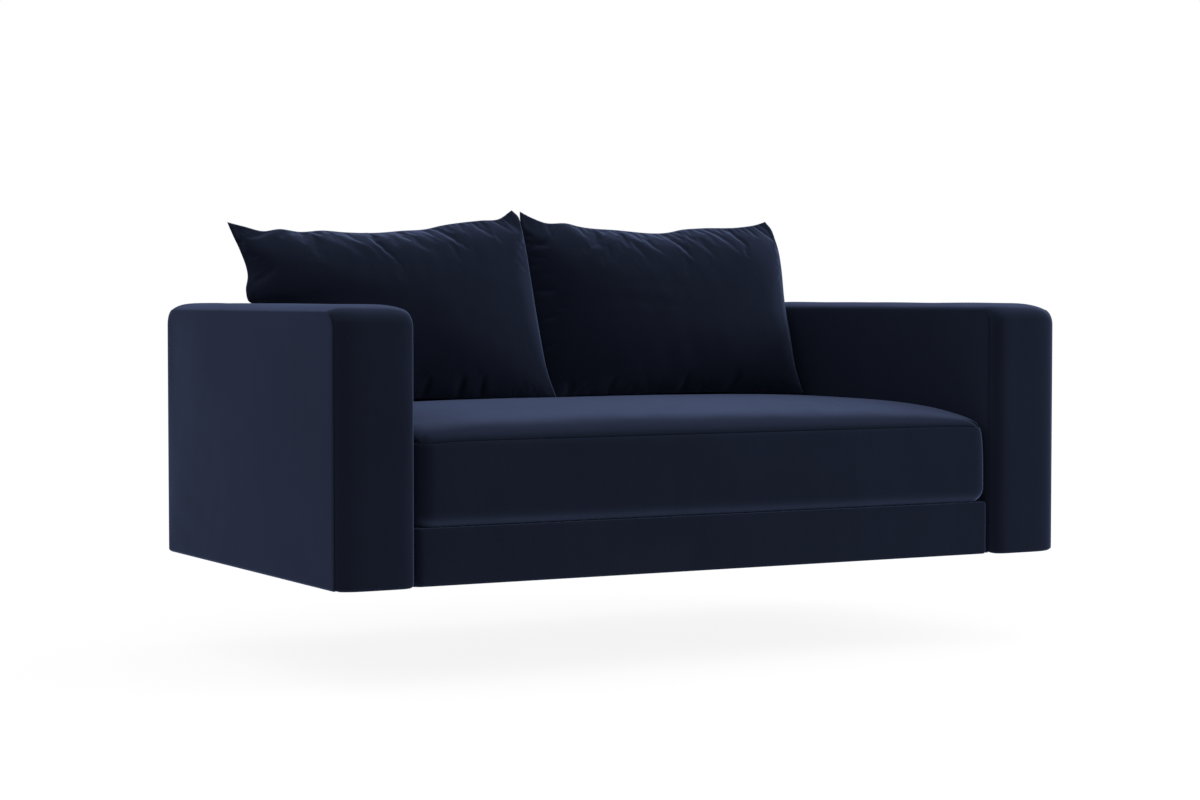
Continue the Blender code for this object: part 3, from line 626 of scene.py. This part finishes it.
def outer_back_skin(inset, seed):
    """One skin of the outer back: turned lip, quarter circle, then up to the top seam."""
    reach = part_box("back_outer")[1].x
    tuck = BACK_TUCK * np.linspace(1.0, 0.0, 4)[:-1]
    x = np.concatenate([0 * tuck - reach, stations(2 * reach, 0.02) - reach, 0 * tuck + reach])
    tucked = np.concatenate([tuck, np.zeros(x.size - 2 * tuck.size), tuck[::-1]])
    lip = np.linspace(0.0, 1.0, 5)[:-1]
    curl = np.linspace(math.pi / 2, 0.0, 9)
    rise = np.concatenate([np.linspace(0.0, ARM_HEIGHT - HEM_RADIUS - SEAM_STEPS[-1], 40)[1:],
                           ARM_HEIGHT - HEM_RADIUS - SEAM_STEPS[-2::-1]])
    hem = HEM_RADIUS - inset
    height = np.concatenate([0 * lip + inset, HEM_RADIUS - hem * np.sin(curl), HEM_RADIUS + rise])
    y = np.concatenate([DEPTH - HEM_RADIUS - HEM_LIP * (1 - lip), DEPTH - HEM_RADIUS + hem * np.cos(curl),
                        0 * rise + DEPTH - inset])
    share = np.clip((height - HEM_RADIUS) / (ARM_HEIGHT - HEM_RADIUS), 0.0, 1.0)[:, None]
    puff = OUTER_BULGE * np.sin(math.pi * share) * (1 - (x / reach) ** 4)
    puff = puff + 0.0007 * np.sin(math.pi * share) * wander(x, share, 0.35, seed)
    sink = seam_sink(np.minimum(ARM_HEIGHT - height[:, None], reach - np.abs(x)))
    sink = np.where(height[:, None] > 2 * HEM_RADIUS, sink, 0.0) if inset == 0.0 else 0.0
    spread = BACK_TUCK_SPREAD * np.sign(x) * tucked / BACK_TUCK
    skin = grid_points(np.clip(x, inset - reach, reach - inset) + spread,
                       FRONT_Y + y[:, None] + puff - sink - tucked, HEM_Z + height[:, None])
    return skin, grid_points(x, height[:, None]), (2 * reach, PANEL_LENGTH)


*skins, cut = both_skins(outer_back_skin, 61)
piece = cloth_panel("outer_back_panel", *skins)
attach(piece, "root")
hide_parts("back_outer")


# ---- seat cushion ----
# One bench cushion, a velvet cover on foam: a crowned top panel, a boxing strip that bulges, and
# a flat underside. The seam round the top is drawn in, and dips at the two front corners.
SEAT_SEAM_HEIGHT = 0.2458
SEAT_BULGE = 0.008
SEAT_CROWN = 0.050
SEAT_CORNER = 0.026
SEAT_FORWARD = 0.011
SEAT_SEAM_SHADE = 0.0012
SEAT_FOOT_HIGHLIGHT = 2.2        # painted highlight: the boxing's colour is brightened where it turns under
SEAT_FOOT_HIGHLIGHT_REACH = 0.012
SEAT_EDGE_SHADE = 0.22        # and painted shade darkens it a little along the seam on top
SEAT_EDGE_SHADE_REACH = 0.028
SEAT_FOOT_ROUND = 0.030
SEAT_FOOT_TURN = math.radians(68)
SEAT_DIP = 0.006
SEAT_DIP_POWER = 20
SEAT_WAVES = ((0.0004, 0.30), (0.0001, 0.07))   # height and length of the unevenness on top
SEAT_SETTLE_REACH = 0.05
BOXING_WAVES = (0.0007, 0.20)
BOXING_ROW_POWER = 2.2      # rows of the boxing lie closer together near the seam
SEAT_DOME = {"sides": (3.0, 0.19), "front": (3.3, 0.775), "rear": (4.0, 0.6)}
seat_low, seat_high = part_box("seat_cushion")
SEAT_HALF_X = seat_high.x - SEAT_BULGE
SEAT_MIDDLE_Y = (seat_low.y - SEAT_FORWARD + seat_high.y) / 2
SEAT_HALF_Y = (seat_high.y - seat_low.y + SEAT_FORWARD) / 2 - SEAT_BULGE
SEAT_FOOT_Z = seat_low.z
SEAT_SEAM_Z = HEM_Z + SEAT_SEAM_HEIGHT


def dome(across, shape):
    """1 in the middle and 0 at -1 and 1: (1 - |across| ** power) ** roundness."""
    power, roundness = shape
    return (1.0 - np.minimum(np.abs(across), 1.0) ** power) ** roundness


def seat_rise(s, t):
    """Crown of the seat over its seam, steep at the sides, sloping at the front, full behind."""
    along = np.where(t < 0, dome(t, SEAT_DOME["front"]), dome(t, SEAT_DOME["rear"]))
    return SEAT_CROWN * dome(s, SEAT_DOME["sides"]) * along


def rounded_corners(x, y, half_x, half_y, radius):
    """Press the corners of a square grid in, so that its edge is a rounded rectangle."""
    over_x = np.maximum(np.abs(x) - half_x + radius, 0.0)
    over_y = np.maximum(np.abs(y) - half_y + radius, 0.0)
    reach = np.maximum(np.hypot(over_x, over_y), 1e-9)
    pull = 1.0 - np.maximum(over_x, over_y) / reach
    return x - np.sign(x) * over_x * pull, y - np.sign(y) * over_y * pull


def seat_surface():
    """Points, faces and flat places of the seat cushion: top grid, boxing rings, underside."""
    s = np.sin(np.linspace(-math.pi / 2, math.pi / 2, 181))[:, None]
    t = np.sin(np.linspace(-math.pi / 2, math.pi / 2, 111))[None, :]
    half_x, half_y = SEAT_HALF_X - SEAM_DEPTH, SEAT_HALF_Y - SEAM_DEPTH
    x, y = rounded_corners(s * half_x + 0 * t, t * half_y + 0 * s, half_x, half_y, SEAT_CORNER)
    dip = SEAT_DIP * (np.abs(s) * np.abs(t)) ** SEAT_DIP_POWER
    inside = np.minimum(half_x - np.abs(x), half_y - np.abs(y))
    settle = np.minimum(inside / SEAT_SETTLE_REACH, 1.0)
    uneven = sum(rise * settle * wander(x, y, wavelength, 71 + order)
                 for order, (rise, wavelength) in enumerate(SEAT_WAVES))
    z = SEAT_SEAM_Z - dip + seat_rise(s, t) + uneven - seam_sink(inside)
    top = np.stack([x, y + SEAT_MIDDLE_Y, z], axis=-1)
    index = np.arange(x.size).reshape(x.shape)
    ring = grid_rim(index)
    seam = top.reshape(-1, 3)[ring]
    ahead = np.roll(seam, -1, axis=0) - np.roll(seam, 1, axis=0)
    outward = np.stack([ahead[:, 1], -ahead[:, 0], 0 * ahead[:, 0]], axis=-1)
    outward /= np.linalg.norm(outward, axis=1)[:, None]
    if np.sum(outward * (seam - seam.mean(axis=0))) < 0:
        outward = -outward
    around = np.concatenate([[0.0], np.cumsum(np.linalg.norm(np.diff(seam, axis=0), axis=1))])

    knee = SEAT_FOOT_Z + SEAT_FOOT_ROUND * math.sin(SEAT_FOOT_TURN)
    shares = 1.0 - np.linspace(0.0, 1.0, 36)[1:] ** BOXING_ROW_POWER
    level = np.stack([x, y], axis=-1).reshape(-1, 2)
    points, faces, flat = [top.reshape(-1, 3)], [grid_quads(index)], [level]
    previous, count = ring, x.size
    # Painted shade along the top's seam: dark right at it, and a wider faint band beyond.
    top_seam_shade = 1 - SEAT_EDGE_SHADE * np.exp(-(inside / SEAT_EDGE_SHADE_REACH) ** 4)
    painted_light = [seam_painted_shade(inside.ravel(), SEAT_SEAM_SHADE) * top_seam_shade.ravel()]
    levels = []
    for share in shares:
        height = knee + share * (seam[:, 2] - knee)
        soft = math.sin(math.pi * (1.0 - share))
        bulge = SEAT_BULGE * math.sqrt(1 - share ** 3) + SEAM_DEPTH
        bulge = bulge - seam_sink((1 - share) * (seam[:, 2] - knee))
        bulge = bulge + BOXING_WAVES[0] * soft * wander(around, height, BOXING_WAVES[1], 73)
        levels.append((height, bulge))
    for angle in np.linspace(0.0, SEAT_FOOT_TURN, 13)[1:]:
        height = knee - SEAT_FOOT_ROUND * math.sin(angle) + 0 * around
        levels.append((height, SEAM_DEPTH + SEAT_BULGE - SEAT_FOOT_ROUND * (1 - math.cos(angle))))
    for height, out in levels:
        row = seam + outward * np.reshape(out, (-1, 1))
        row[:, 2] = height
        current = count + np.arange(ring.size)
        faces.append(rim_quads(previous, current))
        points.append(row)
        flat.append(np.stack([around, height], axis=-1))
        # Painted highlight on the boxing just above its foot, a painted shadow line right at the foot, and
        # painted shade below the top seam.
        above_foot = height - SEAT_FOOT_Z
        foot_highlight_and_shade = 1 + SEAT_FOOT_HIGHLIGHT * np.exp(-(above_foot / SEAT_FOOT_HIGHLIGHT_REACH) ** 2)
        foot_highlight_and_shade = foot_highlight_and_shade * (1 - 0.9 * np.exp(-(above_foot / SEAT_SEAM_SHADE) ** 2))
        painted_light.append(seam_painted_shade(seam[:, 2] - height, SEAT_SEAM_SHADE) * foot_highlight_and_shade)
        previous, count = current, count + ring.size

    under = count + np.arange(index.size).reshape(index.shape)
    drawn_in = SEAT_FOOT_ROUND * (1 - math.cos(SEAT_FOOT_TURN)) - SEAM_DEPTH - SEAT_BULGE
    under_points = grid_points(x * (1 - drawn_in / half_x),
                               y * (1 - drawn_in / half_y) + SEAT_MIDDLE_Y, SEAT_FOOT_Z)
    points.append(under_points.reshape(-1, 3))
    flat.append(level)
    painted_light.append(np.ones(x.size))
    faces.append(grid_quads(under)[:, ::-1])
    faces.append(rim_quads(previous, grid_rim(under)))
    return np.concatenate(points), np.concatenate(faces), np.concatenate(flat), np.concatenate(painted_light)


# The seat's copy of the velvet has stronger painted sheen edge on than the cover's, making up for light that
# the arms and back cushions keep off it.
SEAT_NAVY = (0.0067, 0.0086, 0.0163)
seat_velvet = velvet("seat_velvet", SEAT_NAVY, 4.0, straight_on=0.8, slanting=1.3, edge_on=5.3)
points, faces, flat, painted_light = seat_surface()
seat = make_piece("bench_seat_cushion", points, faces, flat, [seat_velvet], np.zeros(len(faces)), painted_light)
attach(seat, "root")
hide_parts("seat_cushion")


# ---- back cushions ----
# Two loose knife-edge cushions, velvet covers filled with fibre. Two panels each, sewn face to
# face round the edge, so the corners stand out as ears. Blender's Cloth fills them by pressure.
CUSHION_FRONT = 0.085
CUSHION_BACK = 0.070
CUSHION_DOME = {"width": (2.4, 0.75), "upper": (3.1, 1.0), "lower": (3.0, 0.7)}
EDGE_FADE = {"top": 2, "foot": 2, "left": 6, "right": 4}
EAR_REACH = 0.055
OVERHANG = 0.004            # this far above the low back the cushions start to hang over it
OVERHANG_BEND = 0.060
BACK_SOFTNESS = 0.003       # and they flatten against it over about this depth
SEAT_CLEAR = 0.0012
BACK_CLEAR = 0.0005
ARM_CLEAR = 0.0025

# Seam lines in each cushion's own leaning plane, as x from the middle and height over the hem.
BACK_CUSHIONS = {
    "left": {
        "foot_point": (-0.035, 0.607, 0.363), "lean_deg": 22.0, "turn_deg": -3.5,
        "ears_back": (0.004, 0.011),
        "top": [(-0.644, 0.633), (-0.611, 0.624), (-0.578, 0.615), (-0.541, 0.619), (-0.504, 0.614),
                (-0.455, 0.617), (-0.410, 0.614), (-0.339, 0.614), (-0.294, 0.618), (-0.240, 0.622),
                (-0.208, 0.629), (-0.120, 0.641), (-0.079, 0.646), (-0.043, 0.667)],
        "foot": [(-0.588, 0.288), (-0.450, 0.291), (-0.180, 0.291), (-0.025, 0.289)],
        "left": [(-0.588, 0.288), (-0.580, 0.330), (-0.585, 0.440), (-0.597, 0.474), (-0.627, 0.480),
                 (-0.629, 0.499), (-0.621, 0.528), (-0.628, 0.577), (-0.636, 0.604), (-0.644, 0.633)],
        "right": [(-0.025, 0.289), (-0.033, 0.330), (-0.035, 0.416), (-0.033, 0.500), (-0.030, 0.590),
                  (-0.0285, 0.636), (-0.0295, 0.653), (-0.041, 0.667)],
    },
    "right": {
        "foot_point": (0.0, 0.610, 0.295), "lean_deg": 18.0, "turn_deg": 0.0,
        "ears_back": (0.008, 0.018),
        "top": [(-0.024, 0.663), (0.000, 0.650), (0.026, 0.639), (0.078, 0.637), (0.099, 0.632),
                (0.186, 0.625), (0.317, 0.622), (0.342, 0.627), (0.391, 0.631), (0.491, 0.635),
                (0.530, 0.642), (0.568, 0.653)],
        "foot": [(-0.020, 0.289), (0.120, 0.291), (0.400, 0.291), (0.577, 0.284)],
        "left": [(-0.020, 0.289), (-0.027, 0.340), (-0.030, 0.420), (-0.0295, 0.530),
                 (-0.0275, 0.610), (-0.0272, 0.640), (-0.024, 0.663)],
        "right": [(0.577, 0.284), (0.569, 0.335), (0.569, 0.399), (0.570, 0.475), (0.577, 0.550),
                  (0.580, 0.610), (0.578, 0.638), (0.568, 0.653)],
    },
}
# Creases: from one place to the other. Each is a trough, steep on its lower side and easy above.
CREASE_OVERRUN = 0.25       # a crease runs past both places by this share of its length
CREASE_FADE = 0.4           # and fades out over this share
CREASE_COLUMNS = ("x0", "z0", "x1", "z1", "half_width", "depth")
CREASES = {
    "left": [
        (-0.530, 0.612, -0.472, 0.566, 0.010, 0.0016),
        (-0.480, 0.616, -0.396, 0.540, 0.009, 0.0036),
        (-0.428, 0.606, -0.368, 0.555, 0.008, 0.0030),
        (-0.372, 0.596, -0.342, 0.532, 0.008, 0.0027),
        (-0.315, 0.608, -0.258, 0.550, 0.009, 0.0029),
        (-0.232, 0.628, -0.183, 0.566, 0.009, 0.0024),
        (-0.150, 0.636, -0.095, 0.590, 0.011, 0.0016),
        (-0.6310, 0.618, -0.6250, 0.560, 0.004, 0.0040),
        (-0.6240, 0.512, -0.6180, 0.466, 0.004, 0.0045),
        (-0.2350, 0.290, -0.2320, 0.318, 0.005, 0.0060),
        (-0.1880, 0.290, -0.1920, 0.316, 0.006, 0.0055),
        (-0.3080, 0.290, -0.3050, 0.316, 0.006, 0.0035),
    ],
    "right": [
        (0.075, 0.644, 0.132, 0.588, 0.010, 0.0016),
        (0.140, 0.626, 0.212, 0.560, 0.009, 0.0035),
        (0.196, 0.620, 0.262, 0.554, 0.009, 0.0030),
        (0.288, 0.616, 0.318, 0.552, 0.007, 0.0027),
        (0.326, 0.622, 0.374, 0.560, 0.008, 0.0030),
        (0.394, 0.632, 0.440, 0.576, 0.009, 0.0022),
        (0.440, 0.636, 0.474, 0.588, 0.009, 0.0016),
        (-0.012, 0.590, 0.016, 0.582, 0.006, 0.0030),
        (-0.020, 0.497, 0.006, 0.489, 0.006, 0.0022),
        (0.2810, 0.290, 0.2780, 0.316, 0.006, 0.0055),
        (0.3860, 0.290, 0.4060, 0.320, 0.007, 0.0060),
        (0.0160, 0.290, 0.0220, 0.314, 0.007, 0.0050),
        (0.1090, 0.290, 0.1070, 0.314, 0.007, 0.0035),
    ],
}
CUSHION_GRID = (105, 67)
START_FULLNESS = 0.93       # the covers start a little flat, and swell in the simulation
CUSHION_WAVES = ((0.0015, 0.16), (0.0008, 0.05))    # height and length of its unevenness
TROUGH_ONSET = 6            # creases reach full depth where the cover is a sixth full
PRESSURE = 4.0
SPARE_CLOTH = 0.016         # the most that the cloth may be longer than the cover's shape
BEND_STIFFNESS = 0.5
STEPS_PER_FRAME = 6
SETTLE_FRAMES = 20
MOST_MOVE = 0.014
# Spare cloth is eased into a seam, by this share of the most, and reaches this far in from it.
EASE_COLUMNS = ("share", "seam", "reach")
EASE = {
    "left": [(1.0, "top", 0.09), (0.5, "left", 0.04), (0.5, "foot", 0.02)],
    "right": [(1.0, "top", 0.09), (0.2, "left", 0.04), (0.5, "foot", 0.02)],
}


def soft_curve(knots, shares):
    """Points at shares 0 to 1 along a smooth curve through the knots, by cubic pieces."""
    knots = np.asarray(knots, dtype=float)
    lengths = np.linalg.norm(np.diff(knots, axis=0), axis=1)
    station = np.concatenate([[0.0], np.cumsum(lengths)]) / lengths.sum()
    slope = np.gradient(knots, station, axis=0)
    at = np.clip(np.searchsorted(station, shares, side="right") - 1, 0, len(knots) - 2)
    span = (station[at + 1] - station[at])[:, None]
    f = (shares - station[at])[:, None] / span
    return (knots[at] * (2 * f ** 3 - 3 * f ** 2 + 1) + knots[at + 1] * (3 * f ** 2 - 2 * f ** 3)
            + span * slope[at] * (f ** 3 - 2 * f ** 2 + f) + span * slope[at + 1] * (f ** 3 - f ** 2))


def fill_outline(cushion, u, v):
    """Points (x, z) inside four seam curves: an even grid plus each edge's waves, fading inwards."""
    top, foot = soft_curve(cushion["top"], u), soft_curve(cushion["foot"], u)
    left, right = soft_curve(cushion["left"], v), soft_curve(cushion["right"], v)
    uu, vv = u[:, None, None], v[None, :, None]
    even = ((1 - uu) * (1 - vv) * foot[0] + uu * (1 - vv) * foot[-1]
            + (1 - uu) * vv * top[0] + uu * vv * top[-1])
    return (even
            + vv ** EDGE_FADE["top"] * (top[:, None] - even[:, -1:])
            + (1 - vv) ** EDGE_FADE["foot"] * (foot[:, None] - even[:, :1])
            + (1 - uu) ** EDGE_FADE["left"] * (left[None] - even[:1])
            + uu ** EDGE_FADE["right"] * (right[None] - even[-1:]))


def crease_relief(flat, creases):
    """Sum of soft troughs, each a bell across its own line, twice as wide above it as below."""
    depth = np.zeros(flat.shape[:2])
    for row in creases:
        crease = dict(zip(CREASE_COLUMNS, row))
        start = np.array([crease["x0"], crease["z0"]])
        line = np.array([crease["x1"], crease["z1"]]) - start
        length = np.linalg.norm(line)
        offset = flat - start
        along = offset @ line / length ** 2
        beside = (line[0] * offset[..., 1] - line[1] * offset[..., 0]) / length
        bell = np.exp(-(beside / np.where(beside > 0, 2.0, 1.0) / crease["half_width"]) ** 2)
        fade = np.sin(math.pi * np.clip(0.4 * along + 0.3, 0.0, 1.0)) ** 2
        ends = (np.clip((along + CREASE_OVERRUN) / CREASE_FADE, 0.0, 1.0)
                * np.clip((1 + CREASE_OVERRUN - along) / CREASE_FADE, 0.0, 1.0))
        depth += crease["depth"] * bell * fade * ends ** 2 * (3 - 2 * ends)
    return depth


def spare_cloth(flat, u, v, rows):
    """Share of the spare cloth at each place: a bell from each seam, exp(-(distance / reach) ** 2)."""
    width, height = np.ptp(flat[..., 0]), np.ptp(flat[..., 1])
    from_seam = {"top": (1 - v) * height, "foot": v * height, "left": u * width}
    share = np.zeros(flat.shape[:2])
    for row in rows:
        ease = dict(zip(EASE_COLUMNS, row))
        share = np.maximum(share, ease["share"] * np.exp(-(from_seam[ease["seam"]] / ease["reach"]) ** 2))
    return share


def sewn_skins(front, rear):
    """Points, faces and grid places of two skins of one grid that share the vertices of their seam."""
    rows, columns = front.shape[:2]
    first = np.arange(rows * columns).reshape(rows, columns)
    inner = np.zeros((rows, columns), dtype=bool)
    inner[1:-1, 1:-1] = True
    second = first.copy()
    second[inner] = rows * columns + np.arange(inner.sum())
    faces = np.concatenate([grid_quads(first), grid_quads(second)[:, ::-1]])
    return np.concatenate([front.reshape(-1, 3), rear[inner]]), faces, first, second


def swell(front, rear, spare):
    """Fill a cushion cover by pressure, with its seam held, and hand back its two skins."""
    points, faces, first, second = sewn_skins(front, rear)
    mesh = bpy.data.meshes.new("swelling")
    mesh.from_pydata(points.tolist(), [], faces.tolist())
    cover = new_object("swelling", mesh)
    held = cover.vertex_groups.new(name="held")
    held.add(grid_rim(first).tolist(), 1.0, "REPLACE")
    tight = cover.vertex_groups.new(name="tight")
    for index, share in zip(np.concatenate([first.ravel(), second.ravel()]), np.tile(spare.ravel(), 2)):
        tight.add([int(index)], float(1.0 - share), "REPLACE")
    cloth = cover.modifiers.new("cloth", "CLOTH")
    settings = cloth.settings
    settings.vertex_group_mass = "held"
    settings.vertex_group_shrink = "tight"
    settings.shrink_min = -SPARE_CLOTH
    settings.shrink_max = 0.0
    settings.use_pressure = True
    settings.uniform_pressure_force = PRESSURE
    settings.effector_weights.gravity = 0.0
    settings.quality = STEPS_PER_FRAME
    settings.bending_stiffness = BEND_STIFFNESS
    cloth.collision_settings.use_collision = False
    cloth.point_cache.frame_start = 1
    cloth.point_cache.frame_end = SETTLE_FRAMES
    for frame_number in range(1, SETTLE_FRAMES + 1):
        bpy.context.scene.frame_set(frame_number)
    settled = cover.evaluated_get(bpy.context.evaluated_depsgraph_get()).to_mesh()
    places = np.empty(3 * len(points))
    settled.vertices.foreach_get("co", places)
    move = places.reshape(-1, 3) - points
    far = np.linalg.norm(move, axis=1)[:, None]
    points = points + move * np.minimum(1.0, MOST_MOVE / np.maximum(far, 1e-9))
    bpy.context.scene.frame_set(1)
    bpy.data.objects.remove(cover)
    bpy.data.meshes.remove(mesh)
    return points[first], points[second]


def refined(grid):
    """The grid with a row between each two rows, and columns likewise: (9 near - far) / 16 each."""
    for axis in (0, 1):
        grid = np.moveaxis(grid, axis, 0)
        longer = np.concatenate([2 * grid[:1] - grid[1:2], grid, 2 * grid[-1:] - grid[-2:-1]])
        between = (9 * (longer[1:-2] + longer[2:-1]) - longer[:-3] - longer[3:]) / 16
        finer = np.empty((2 * len(grid) - 1,) + grid.shape[1:])
        finer[::2], finer[1::2] = grid, between
        grid = np.moveaxis(finer, 0, axis)
    return grid


def keep_clear(skin):
    """Flatten a cushion where it meets the seat, the low back and the left arm."""
    x, y, z = skin[..., 0], skin[..., 1], skin[..., 2]
    seat_y = (y - SEAT_MIDDLE_Y) / SEAT_HALF_Y
    z[:] = np.maximum(z, SEAT_SEAM_Z + seat_rise(x / SEAT_HALF_X, seat_y) + SEAT_CLEAR)
    slope = (back_high.y - CLOTH - back_low.y) / (back_high.z - back_low.z)
    back_face = back_low.y + slope * (np.minimum(z, SEAM_Z) - back_low.z) - BACK_CLEAR
    back_face = back_face + np.maximum(0.0, z - SEAM_Z - OVERHANG) ** 2 / OVERHANG_BEND
    y[:] = back_face - BACK_SOFTNESS * np.logaddexp(0.0, (back_face - y) / BACK_SOFTNESS)
    across = np.clip((x + OUTER_X - ARM_WIDTH / 2) / (ARM_WIDTH / 2), -1.0, 1.0)
    arm_top = SEAM_Z + CROWN_TOP * (1 - np.abs(across) ** CROWN_POWER) + ARM_CLEAR
    z[:] = np.where(x < -INNER_X + ARM_CLEAR, np.maximum(z, arm_top), z)


def back_cushion_skins(side, seed):
    """Front and rear skins of a back cushion on one grid, and their flat places."""
    cushion = BACK_CUSHIONS[side]
    foot_x, foot_y, foot_z = cushion["foot_point"]
    lean = math.tan(math.radians(cushion["lean_deg"]))
    turn = math.tan(math.radians(cushion["turn_deg"]))
    u, v = np.linspace(0.0, 1.0, CUSHION_GRID[0]), np.linspace(0.0, 1.0, CUSHION_GRID[1])
    flat = fill_outline(cushion, u, v)
    x, z = flat[..., 0], flat[..., 1]
    y = foot_y + lean * (z - foot_z) + turn * (x - foot_x)
    seam = np.stack([x, y + FRONT_Y, z + HEM_Z], axis=-1)
    normal = np.array([turn, -1.0, lean])
    normal /= np.linalg.norm(normal)
    rise = np.where(v > 0.5, dome(2 * v - 1, CUSHION_DOME["upper"]), dome(2 * v - 1, CUSHION_DOME["lower"]))
    plump = dome(2 * u - 1, CUSHION_DOME["width"])[:, None] * rise
    bend = np.zeros_like(x)
    for tip, amount in zip((flat[0, -1], flat[-1, -1]), cushion["ears_back"]):
        bend += amount * np.exp(-(np.linalg.norm(flat - tip, axis=-1) / EAR_REACH) ** 2)
    trough = crease_relief(flat, CREASES[side]) * np.minimum(1.0, TROUGH_ONSET * plump)
    uneven = sum(height * plump * wander(x, z, wavelength, seed + order)
                 for order, (height, wavelength) in enumerate(CUSHION_WAVES))
    full = START_FULLNESS
    front = seam + (full * CUSHION_FRONT * plump - trough - bend + uneven)[..., None] * normal
    rear = seam - (full * CUSHION_BACK * plump + bend)[..., None] * normal
    front, rear = swell(front, rear, spare_cloth(flat, u[:, None], v[None], EASE[side]))
    front, rear, flat = refined(front), refined(rear), refined(flat)
    for skin in (front, rear):
        keep_clear(skin)
    return front, rear, flat


def sewn_cushion(name, front, rear, flat, material):
    """Two skins of one grid, sharing the vertices of their seam."""
    points, faces, first, second = sewn_skins(front, rear)
    places = np.zeros((len(points), 2))
    places[first], places[second] = flat, flat
    return make_piece(name, points, faces, places, [material], np.zeros(len(faces)), np.ones(len(points)))


# The cushions' copy of the velvet has darker painted shade head on and stronger painted sheen at a slant and
# edge on than the cover's, for light that the arms, seat and each other keep off them.
CUSHION_NAVY = (0.0068, 0.0088, 0.0168)
cushion_velvet = velvet("cushion_velvet", CUSHION_NAVY, 4.0, straight_on=0.6, slanting=1.9, edge_on=5.8)
for side, seed in (("left", 81), ("right", 91)):
    front, rear, flat = back_cushion_skins(side, seed)
    piece = sewn_cushion("back_cushion_cover_" + side, front, rear, flat, cushion_velvet)
    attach(piece, "root")
    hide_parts("back_cushion_" + side)
